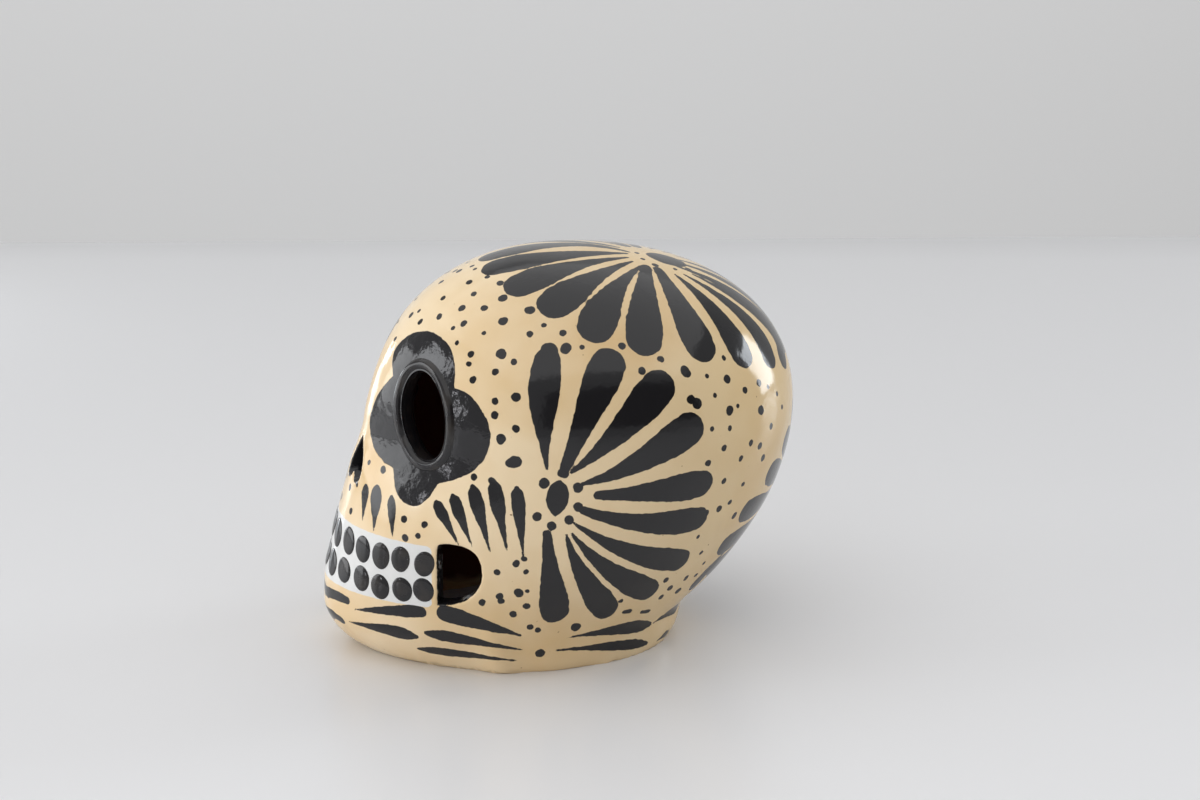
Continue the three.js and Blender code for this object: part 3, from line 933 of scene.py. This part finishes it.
# %% Cutters for the hollow and the holes
def cutter_from_outline(name, outline, place, depth=14.0):
    """A flat outline pushed through the wall from outside to inside."""
    deselect_all()
    bpy.ops.mesh.primitive_circle_add(vertices=len(outline), radius=1, fill_type="NGON")
    cutter = bpy.context.object
    cutter.name = name
    near = np.column_stack([outline, np.full(len(outline), depth / 2)])
    write_points(cutter, from_frame(near, place) * MM)
    edit(cutter)
    bpy.ops.mesh.select_all(action="SELECT")
    push = Vector(place[1][2]) * (-depth * MM)
    bpy.ops.mesh.extrude_region_move(TRANSFORM_OT_translate={"value": push})
    leave_edit()
    face_outwards(cutter)
    return cutter


def cut(thing, cutter):
    """Takes the cutter's shape out of the thing, and removes the cutter."""
    pick(thing)
    knife = thing.modifiers.new("cut", "BOOLEAN")
    knife.operation = "DIFFERENCE"
    knife.solver = "MANIFOLD"
    knife.object = cutter
    bpy.ops.object.modifier_apply(modifier=knife.name)
    bpy.data.objects.remove(cutter)


HOLLOW_OVERRUN = 8
CLEARANCE = 0.2
hollow = add_ball("hollow", 5)
write_points(hollow, wrap(read_points(hollow), -WALL, HOLLOW_OVERRUN) * MM)
cut(shell, hollow)
print("after the hollow:", len(shell.data.polygons))

for number, (outline, place) in enumerate(holes):
    grown = outline * (1 + CLEARANCE / np.ptp(outline, axis=0))
    cut(shell, cutter_from_outline(f"hole_{number}", grown, place))
for outline, place in eye_holes:
    cut(shell, cutter_from_outline("eye_hole", outline, place))
print("after the holes:", len(shell.data.polygons))

# %% [markdown]
# ## A flat foot
#
# The clay was set down wet on a board, so the rim is flat where it stands. Everything that
# sank below the board is cut away.

# %% Cut the foot
SMOOTH_BELOW = math.radians(40)
edit(shell)
bpy.ops.mesh.select_all(action="SELECT")
bpy.ops.mesh.bisect(plane_co=(0, 0, 0), plane_no=(0, 0, 1), clear_inner=True, use_fill=True)
bpy.ops.mesh.select_all(action="SELECT")
bpy.ops.mesh.quads_convert_to_tris()
bpy.ops.mesh.normals_make_consistent(inside=False)
leave_edit()
bpy.ops.object.shade_smooth_by_angle(angle=SMOOTH_BELOW)
print("shell triangles:", len(shell.data.polygons))

# %% [markdown]
# ## Telling each point about its paint
#
# Four values are stored on the mesh: the distance to the black paint, the distance to the
# white band, how deep a point lies under the skin, and where it lies in its stroke. They
# are plain numbers, so the finish can turn them into colour at any picture size.

# %% Store paint on the shell
GLAZED_RETURN = 0.6
shell_points = read_points(shell) / MM
depth = np.array([canvas.find_nearest(Vector(p))[3] for p in shell_points])
for outline, place in holes + eye_holes:
    glazed = hole_distance(shell_points, outline, place) < GLAZED_RETURN
    depth[glazed] = np.minimum(depth[glazed], WALL / 2)
paint, grain = paint_distance(shell_points)
band = band_distance(shell_points)


def store(thing, name, values, kind="FLOAT"):
    """Keeps one value for each point of the mesh, under a name that a finish can read."""
    layer = thing.data.attributes.new(name, kind, "POINT")
    layer.data.foreach_set("value" if kind == "FLOAT" else "vector", np.ravel(values))


store(shell, "paint", paint)
store(shell, "band", band)
store(shell, "depth", depth)
store(shell, "grain", grain, "FLOAT_VECTOR")
print("painted points:", int((paint < 0).sum()), "of", len(paint))

# %% [markdown]
# ## Eye rims
#
# A thin coil of clay is pressed round each eye hole and glazed black with the flower. It is
# a torus, pushed into an oval and laid on the skin.

# %% Rims
RIM_PROFILE = [
    (-1.25, -3.6), (-1.35, -2.2), (-1.3, -0.9), (-1.0, 0.1), (-0.4, 0.6), (0.3, 0.6), (0.85, 0.25),
    (1.15, -0.3), (1.1, -1.2), (0.2, -3.4),
]
RIM_WIDTH = 1.2
RIGHT_RIM_SHARE = 0.4
RIM_RING_POINTS = 30


def lay_on_skin(points, place, lift=12.0):
    """Drops points of a hole's frame onto the skin, along the frame's outward axis."""
    laid = []
    for x, y in points:
        start = from_frame(np.array([x, y, lift]), place)
        laid.append(np.array(canvas.ray_cast(Vector(start), Vector(-place[1][2]))[0]))
    return np.array(laid)


def add_rim(name, side):
    """One coil: each ring of the torus becomes the pressed profile, stood on the skin."""
    deselect_all()
    bpy.ops.mesh.primitive_torus_add(
        major_segments=96, minor_segments=RIM_RING_POINTS, major_radius=1, minor_radius=0.25,
    )
    rim = bpy.context.object
    rim.name = name
    raw = read_points(rim)
    turn = np.arctan2(raw[:, 1], raw[:, 0])
    round_tube = np.arctan2(raw[:, 2], np.hypot(raw[:, 0], raw[:, 1]) - 1)
    profile = np.array(smooth_line(RIM_PROFILE + RIM_PROFILE[:1], 3))
    stop = np.round((math.pi - round_tube) / (2 * math.pi) * RIM_RING_POINTS).astype(int)
    outward, up = profile[stop % RIM_RING_POINTS].T
    if side < 0:
        up = np.where(up > 0, up * RIGHT_RIM_SHARE, up)
    wide, tall = EYE_WIDTH / 2 + RIM_WIDTH, EYE_HEIGHT / 2 + RIM_WIDTH
    place = eye_frame(side)
    path = np.stack([wide * np.cos(turn), tall * np.sin(turn)], -1)
    normal = np.stack([np.cos(turn) / wide, np.sin(turn) / tall], -1)
    normal /= np.linalg.norm(normal, axis=1, keepdims=True)
    laid = lay_on_skin(path, place)
    flat = np.column_stack([normal * outward[:, None], up])
    write_points(rim, (laid + flat @ place[1]) * MM)
    face_outwards(rim)
    bpy.ops.object.shade_smooth()
    return rim


left_rim = add_rim("left_eye_rim", 1)
right_rim = add_rim("right_eye_rim", -1)
print("rims:", left_rim.name, right_rim.name)

# %% [markdown]
# ## Teeth
#
# Each tooth is a flat pellet, pressed on the band and glazed black: a low dome with a
# rounded edge. A flattened ball is bent onto the skin, one for each tooth, with small
# differences in place and size as in the real rows.

# %% Pellet teeth
TEETH_EACH_SIDE = 5
TOOTH_PITCH, TOOTH_WIDTH, TOOTH_RISE = 5.2, 4.7, 0.35
TOOTH_LEAN = 0.3
QUARTER_STEPS = 360
ROWS = {
    "upper": {"level": 24.6, "height": 5.3, "shift": 0.3},
    "lower": {"level": 18.6, "height": 4.9, "shift": 1.2},
}


def angle_along(distance, height):
    """The angle at which one has walked a distance round the skull from its middle."""
    angles = np.linspace(-math.pi / 2, math.pi / 2, 2 * QUARTER_STEPS + 1)
    path = plain_point(angles, height)
    steps = np.linalg.norm(np.diff(path, axis=0), axis=1)
    walked = np.concatenate([[0], np.cumsum(steps)])
    return np.interp(distance, walked - walked[QUARTER_STEPS], angles)


def add_tooth(name, along, level, width, height):
    """One pellet, at a distance along the skin from the middle and at a height."""
    deselect_all()
    bpy.ops.mesh.primitive_uv_sphere_add(segments=32, ring_count=18, radius=1)
    tooth = bpy.context.object
    tooth.name = name
    raw = read_points(tooth)
    lean = -math.copysign(TOOTH_LEAN, along) * raw[:, 1] * height / 2
    angles = angle_along(along + raw[:, 0] * width / 2 + lean, level)
    heights = level + raw[:, 1] * height / 2
    base = skin_point(angles, heights)
    out = skin_normal(angles, heights)
    write_points(tooth, (base + out * (raw[:, 2] * TOOTH_RISE)[:, None]) * MM)
    face_outwards(tooth)
    bpy.ops.object.shade_smooth()
    return tooth


NUDGES = {
    "upper": [(0, 0), (0.4, 0), (0.3, -0.35), (0.3, -0.5), (0, -0.2), (-0.3, -0.3)],
    "lower": [(0, 0), (0.1, 0), (0.6, -0.2), (0.6, -0.8), (0.6, -0.4), (0, 0.2)],
}
teeth = {}
for row_name, row in ROWS.items():
    for count in range(-TEETH_EACH_SIDE, TEETH_EACH_SIDE + 1):
        side_name = "left" if count > 0 else "right"
        node = f"{row_name}_{side_name}_tooth_{abs(count)}" if count else f"{row_name}_middle_tooth"
        nudge_along, nudge_up = NUDGES[row_name][abs(count)]
        along = count * TOOTH_PITCH + row["shift"] + math.copysign(nudge_along, count)
        width = TOOTH_WIDTH * hand.uniform(0.94, 1.0)
        height = row["height"] * hand.uniform(1.0, 1.06)
        teeth[node] = add_tooth(node + "_pellet", along, row["level"] + nudge_up, width, height)
print("teeth:", len(teeth))

# %% [markdown]
# ## Finishes
#
# Every colour sits under one clear gloss glaze. The groups below turn the stored distances
# into masks and a gentle bump; the glossy surface itself is set in each finish.

# %% Node helpers
def new_finish(name):
    finish = bpy.data.materials.new(name)
    finish.use_nodes = True
    finish.node_tree.nodes.clear()
    return finish


def add_node(tree, kind, x, y, **settings):
    node = tree.nodes.new(kind)
    node.location = (x, y)
    for key, value in settings.items():
        setattr(node, key, value)
    return node


def add_math(tree, operation, a, b, x, y, clamp=False):
    node = add_node(tree, "ShaderNodeMath", x, y, operation=operation, use_clamp=clamp)
    for socket, value in zip(node.inputs, (a, b)):
        if isinstance(value, (int, float)):
            socket.default_value = value
        elif value is not None:
            tree.links.new(value, socket)
    return node.outputs[0]


def add_ramp(tree, value, low, high, x, y, to_low=0.0, to_high=1.0):
    node = add_node(tree, "ShaderNodeMapRange", x, y, clamp=True)
    tree.links.new(value, node.inputs["Value"])
    node.inputs["From Min"].default_value = low
    node.inputs["From Max"].default_value = high
    node.inputs["To Min"].default_value = to_low
    node.inputs["To Max"].default_value = to_high
    return node.outputs["Result"]


def add_noise(tree, vector, scale, detail, x, y, roughness=0.5):
    node = add_node(tree, "ShaderNodeTexNoise", x, y)
    node.inputs["Scale"].default_value = scale
    node.inputs["Detail"].default_value = detail
    node.inputs["Roughness"].default_value = roughness
    tree.links.new(vector, node.inputs["Vector"])
    return node.outputs["Fac"]


def add_mix(tree, share, a, b, x, y):
    node = add_node(tree, "ShaderNodeMix", x, y, data_type="RGBA")
    tree.links.new(share, node.inputs[0])
    for socket, value in ((node.inputs[6], a), (node.inputs[7], b)):
        if isinstance(value, tuple):
            socket.default_value = (*value, 1)
        else:
            tree.links.new(value, socket)
    return node.outputs[2]


def new_group(name, inputs, outputs):
    group = bpy.data.node_groups.new(name, "ShaderNodeTree")
    for label, kind in inputs:
        group.interface.new_socket(label, in_out="INPUT", socket_type=kind)
    for label, kind in outputs:
        group.interface.new_socket(label, in_out="OUTPUT", socket_type=kind)
    return group, add_node(group, "NodeGroupInput", -900, 0), add_node(group, "NodeGroupOutput", 600, 0)


def use_group(tree, group, x, y):
    return add_node(tree, "ShaderNodeGroup", x, y, node_tree=group)


# %% Shared effects
VALUE, COLOUR, VECTOR = "NodeSocketFloat", "NodeSocketColor", "NodeSocketVector"

edge_group, given, result = new_group(
    "hand_painted_edge", [("Distance", VALUE), ("Place", VECTOR), ("Waver", VALUE)], [("Mask", VALUE)]
)
wobble = add_noise(edge_group, given.outputs["Place"], 620, 2, -700, -150)
wobble = add_math(edge_group, "SUBTRACT", wobble, 0.5, -500, -150)
wobble = add_math(edge_group, "MULTIPLY", wobble, given.outputs["Waver"], -320, -150)
moved = add_math(edge_group, "ADD", given.outputs["Distance"], wobble, -140, 0)
edge_mask = add_ramp(edge_group, moved, 0.05, -0.05, 100, 0)
edge_group.links.new(edge_mask, result.inputs["Mask"])

slip_and_sheen_group, given, result = new_group(
    "cream_slip_and_sheen", [("Place", VECTOR)], [("Colour", COLOUR)]
)
# The cream runs from pale and bluish at the face to more orange at the back: partly the slip's own tone,
# partly painted window sheen on the face.
CREAM_PALE_AND_SHEEN, CREAM_LIGHT = (0.86, 0.70, 0.48), (0.77, 0.575, 0.31)
CREAM_DARK = (0.69, 0.47, 0.22)
SPECK = (0.30, 0.17, 0.08)
split = add_node(slip_and_sheen_group, "ShaderNodeSeparateXYZ", -700, 350)
slip_and_sheen_group.links.new(given.outputs["Place"], split.inputs[0])
tone_and_sheen_ramp = add_ramp(slip_and_sheen_group, split.outputs["Y"], -0.045, 0.04, -500, 350)
cream = add_mix(slip_and_sheen_group, tone_and_sheen_ramp, CREAM_PALE_AND_SHEEN, CREAM_LIGHT, -300, 350)
cloud = add_noise(slip_and_sheen_group, given.outputs["Place"], 38, 3, -700, 100)
cloud = add_ramp(slip_and_sheen_group, cloud, 0.4, 0.75, -500, 100)
cream = add_mix(slip_and_sheen_group, cloud, cream, CREAM_DARK, -100, 100)
speck = add_noise(slip_and_sheen_group, given.outputs["Place"], 900, 1, -700, -200)
speck = add_ramp(slip_and_sheen_group, speck, 0.79, 0.84, -500, -200)
cream = add_mix(slip_and_sheen_group, speck, cream, SPECK, 100, 0)
slip_and_sheen_group.links.new(cream, result.inputs["Colour"])

glaze_group, given, result = new_group(
    "glaze_waves", [("Place", VECTOR)], [("Height", VALUE), ("Roughness", VALUE)]
)
long_waves = add_noise(glaze_group, given.outputs["Place"], 60, 2, -700, 100)
short_waves = add_noise(glaze_group, given.outputs["Place"], 420, 2, -700, -100)
short_waves = add_math(glaze_group, "MULTIPLY", short_waves, 0.18, -500, -100)
waves = add_math(glaze_group, "ADD", long_waves, short_waves, -300, 0)
dulled = add_ramp(glaze_group, long_waves, 0.3, 0.7, -300, -250, 0.09, 0.15)
glaze_group.links.new(waves, result.inputs["Height"])
glaze_group.links.new(dulled, result.inputs["Roughness"])
print("groups:", edge_group.name, slip_and_sheen_group.name, glaze_group.name)

# %% The painted shell's finish
BLACK = (0.011, 0.0105, 0.012)
BLACK_THIN = (0.03, 0.025, 0.022)
BAND_WHITE = (0.71, 0.71, 0.70)
CLAY_BROWN = (0.17, 0.045, 0.022)
GLAZE_IOR = 1.5


def add_surface(finish, colour, roughness, normal):
    tree = finish.node_tree
    surface = add_node(tree, "ShaderNodeBsdfPrincipled", 900, 0)
    surface.inputs["IOR"].default_value = GLAZE_IOR
    output = add_node(tree, "ShaderNodeOutputMaterial", 1200, 0)
    tree.links.new(surface.outputs[0], output.inputs["Surface"])
    for socket, value in (("Base Color", colour), ("Roughness", roughness), ("Normal", normal)):
        tree.links.new(value, surface.inputs[socket])
    return surface


def add_bump(tree, height, strength, distance, x, y):
    bump = add_node(tree, "ShaderNodeBump", x, y)
    bump.inputs["Strength"].default_value = strength
    bump.inputs["Distance"].default_value = distance
    tree.links.new(height, bump.inputs["Height"])
    return bump.outputs["Normal"]


shell_finish = new_finish("painted_glazed_clay")
tree = shell_finish.node_tree
place = add_node(tree, "ShaderNodeTexCoord", -1400, 0).outputs["Object"]


def stored(name, y):
    return add_node(tree, "ShaderNodeAttribute", -1400, y, attribute_name=name)


slip = use_group(tree, slip_and_sheen_group, -700, 300)
tree.links.new(place, slip.inputs["Place"])
band_edge = use_group(tree, edge_group, -900, 0)
tree.links.new(place, band_edge.inputs["Place"])
tree.links.new(stored("band", -200).outputs["Fac"], band_edge.inputs["Distance"])
band_edge.inputs["Waver"].default_value = 0.3
paint_edge = use_group(tree, edge_group, -900, -200)
tree.links.new(place, paint_edge.inputs["Place"])
tree.links.new(stored("paint", -400).outputs["Fac"], paint_edge.inputs["Distance"])
paint_edge.inputs["Waver"].default_value = 0.5
colour = add_mix(tree, band_edge.outputs["Mask"], slip.outputs["Colour"], BAND_WHITE, -400, 200)
colour = add_mix(tree, paint_edge.outputs["Mask"], colour, BLACK, -200, 100)
bare = add_ramp(tree, stored("depth", -600).outputs["Fac"], 3.1, 3.7, -700, -500)
colour = add_mix(tree, bare, colour, CLAY_BROWN, 0, 0)
grain_split = add_node(tree, "ShaderNodeSeparateXYZ", -1100, -800)
tree.links.new(stored("grain", -800).outputs["Vector"], grain_split.inputs[0])
in_flower = add_ramp(
    tree, grain_split.outputs["Z"], 0.4 * FLOWER_MARK, 0.6 * FLOWER_MARK, -900, -800,
)
in_flower = add_math(tree, "MULTIPLY", in_flower, paint_edge.outputs["Mask"], -700, -800)
thick = add_noise(tree, place, 190, 4, -900, -1000)
thick = add_math(tree, "MULTIPLY", thick, 1.6, -700, -1000)
thick = add_math(tree, "MULTIPLY", thick, in_flower, -500, -900)
glaze = use_group(tree, glaze_group, -400, -500)
tree.links.new(place, glaze.inputs["Place"])
height = add_math(tree, "ADD", glaze.outputs["Height"], thick, 100, -800)
rough = add_ramp(tree, bare, 0, 1, 200, -300, 0, 0.7)
rough = add_math(tree, "ADD", glaze.outputs["Roughness"], rough, 400, -300)
add_surface(shell_finish, colour, rough, add_bump(tree, height, 0.4, 0.0005, 500, -600))
shell.data.materials.clear()
shell.data.materials.append(shell_finish)

# %% The black finish of rims and teeth
black_finish = new_finish("black_glazed_clay")
tree = black_finish.node_tree
place = add_node(tree, "ShaderNodeTexCoord", -1400, 0).outputs["Object"]
thin = add_ramp(tree, add_noise(tree, place, 260, 3, -1100, 200), 0.4, 0.75, -900, 200)
colour = add_mix(tree, thin, BLACK, BLACK_THIN, -600, 200)
glaze = use_group(tree, glaze_group, -600, -200)
tree.links.new(place, glaze.inputs["Place"])
bump = add_bump(tree, glaze.outputs["Height"], 0.35, 0.0004, 0, -300)
add_surface(black_finish, colour, glaze.outputs["Roughness"], bump)
for piece in [left_rim, right_rim, *teeth.values()]:
    piece.data.materials.clear()
    piece.data.materials.append(black_finish)
print("finishes:", shell_finish.name, black_finish.name)

# %% [markdown]
# ## Table, wall and light
#
# The skull stands on a pale table with a pale wall behind. Big soft windows light it, as
# their reflections in the glaze show.

# %% Table and wall
def add_plane(name, size, location, rotation=(0, 0, 0)):
    deselect_all()
    bpy.ops.mesh.primitive_plane_add(size=size, location=location, rotation=rotation)
    plane = bpy.context.object
    plane.name = name
    bpy.ops.object.transform_apply(location=True, rotation=True, scale=True)
    return plane


TABLE_END = 0.325
# The table's grey is painted shade: lighter towards the camera and darker towards its far edge by the wall.
TABLE_SHADE_GREYS = [
    (-0.16, 0.91), (-0.09, 0.78), (0.11, 0.675), (0.27, 0.605), (0.3, 0.59), (TABLE_END, 0.525),
]
WALL_AWAY, WALL_GREY = 2.2, 0.99
TABLE_SIZE, WALL_SIZE = 4, 8
away = Vector((-math.sin(CAMERA_TURN), math.cos(CAMERA_TURN), 0))
table_turn = CAMERA_TURN + math.radians(1.2)
table = add_plane("table", TABLE_SIZE, away * (TABLE_END - TABLE_SIZE / 2), (0, 0, table_turn))
wall = add_plane("wall", WALL_SIZE, away * WALL_AWAY, (math.pi / 2, 0, CAMERA_TURN))


def plain_finish(name, greys, tint, roughness):
    """A matt finish whose grey changes with the distance from the skull, away from the camera."""
    finish = new_finish(name)
    tree = finish.node_tree
    place = add_node(tree, "ShaderNodeTexCoord", -1200, 0).outputs["Object"]
    along = add_node(tree, "ShaderNodeVectorMath", -1000, 0, operation="DOT_PRODUCT")
    along.inputs[1].default_value = away
    tree.links.new(place, along.inputs[0])
    nearest, farthest = greys[0][0], greys[-1][0]
    share = add_ramp(tree, along.outputs["Value"], nearest, farthest, -700, 0)
    ramp = add_node(tree, "ShaderNodeValToRGB", -400, 0)
    tree.links.new(share, ramp.inputs["Fac"])
    for number, (far, grey) in enumerate(greys):
        at = (far - nearest) / (farthest - nearest)
        stop = ramp.color_ramp.elements[number] if number < 2 else ramp.color_ramp.elements.new(at)
        stop.position = at
        stop.color = (*(grey * part for part in tint), 1)
    surface = add_node(tree, "ShaderNodeBsdfPrincipled", 100, 0)
    surface.inputs["Roughness"].default_value = roughness
    output = add_node(tree, "ShaderNodeOutputMaterial", 400, 0)
    tree.links.new(ramp.outputs["Color"], surface.inputs["Base Color"])
    tree.links.new(surface.outputs[0], output.inputs["Surface"])
    return finish


# The table's finish carries the painted shade of its grey ramp.
table.data.materials.append(plain_finish("table_paint_and_shade", TABLE_SHADE_GREYS, (1, 1, 1.015), 0.3))
wall_greys = [(0, WALL_GREY), (WALL_AWAY, WALL_GREY)]
wall.data.materials.append(plain_finish("wall_paint", wall_greys, (1, 1, 1), 0.9))


# %% Light
AIM_HEIGHT = 0.04
# Grey of the sheet that stands in for the shaded side of the room.
ROOM_SHADE_GREY = 0.045
ROOM_LIGHT = 0.42


def add_window(name, turn, lift, distance, wide, tall, brightness, tint=(1, 1, 1)):
    """A soft rectangular light, placed by the direction in which it stands."""
    turn, lift = math.radians(turn), math.radians(lift)
    way = Vector((math.sin(turn) * math.cos(lift), -math.cos(turn) * math.cos(lift), math.sin(lift)))
    deselect_all()
    bpy.ops.object.light_add(type="AREA", location=way * distance + Vector((0, 0, AIM_HEIGHT)))
    lamp = bpy.context.object
    lamp.name = name
    lamp.rotation_mode = "QUATERNION"
    lamp.rotation_quaternion = way.to_track_quat("Z", "Y")
    lamp.data.shape = "RECTANGLE"
    lamp.data.size, lamp.data.size_y = wide, tall
    lamp.data.energy = brightness * math.pi * wide * tall
    lamp.data.color = tint
    return lamp


add_window("brow_pane", -61, 6, 1.5, 0.1, 0.14, 7, (0.92, 0.96, 1))
add_window("side_window", -66, 2.5, 1.5, 0.2, 0.12, 7, (0.92, 0.96, 1))
low_pane = add_window("low_pane", -60, -2.1, 0.35, 0.1, 0.045, 4, (0.88, 0.94, 1))
low_pane.visible_camera = False
add_window("soft_window", -26, 9.5, 1.5, 1.1, 0.5, 2.8, (0.96, 0.98, 1))
add_window("small_window", -12, 24, 1.6, 0.5, 0.3, 4, (0.95, 0.97, 1))
add_window("far_pane", 8, 8, 1.6, 0.1, 0.14, 8, (0.95, 0.95, 1))
front_glow = add_window("front_glow", 24, 4, 1.6, 1.3, 0.4, 5.2)
front_glow.visible_glossy = False
add_window("back_window", 187, 12, 1.4, 0.4, 0.62, 7, (0.9, 0.95, 1))
add_window("ceiling", 0, 90, 1.9, 4.0, 4.0, 0.7)
# A dark sheet on the camera's side stands in for the room's shaded side: painted shade for the glaze to
# reflect, which also holds back light from there.
dark_side = add_plane("dark_side_of_room", 1, (0, 0, 0))
dark_turn, dark_away = math.radians(100), 1.3
pick(dark_side)
bpy.ops.transform.resize(value=(1.9, 0.75, 1))
bpy.ops.transform.rotate(value=math.pi / 2, orient_axis="X", center_override=(0, 0, 0))
bpy.ops.transform.rotate(value=-dark_turn, orient_axis="Z", center_override=(0, 0, 0))
bpy.ops.transform.translate(
    value=(math.sin(dark_turn) * dark_away, -math.cos(dark_turn) * dark_away, 0.55),
)
bpy.ops.object.transform_apply(location=True, rotation=True, scale=True)
room_shade_greys = [(0, ROOM_SHADE_GREY), (WALL_AWAY, ROOM_SHADE_GREY)]
room_shade_finish = plain_finish("room_shade_finish", room_shade_greys, (1.1, 1, 0.9), 0.9)
dark_side.data.materials.append(room_shade_finish)

world = bpy.data.worlds.new("room")
bpy.context.scene.world = world
world.use_nodes = True
world.node_tree.nodes["Background"].inputs["Color"].default_value = (1, 1, 1, 1)
world.node_tree.nodes["Background"].inputs["Strength"].default_value = ROOM_LIGHT
bpy.context.scene.view_settings.view_transform = "Standard"

# %% [markdown]
# ## Tie the pieces to the frame
#
# Each visible piece stands for one solid of the frame and rides on its single body.

# %% Bind
shell.name = "painted_shell"
bindings = {"skull_shell": shell, "left_eye_coil": left_rim, "right_eye_coil": right_rim, **teeth}
for node, piece in bindings.items():
    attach(piece, "root")
    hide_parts(node)
print("pieces bound:", len(bindings))
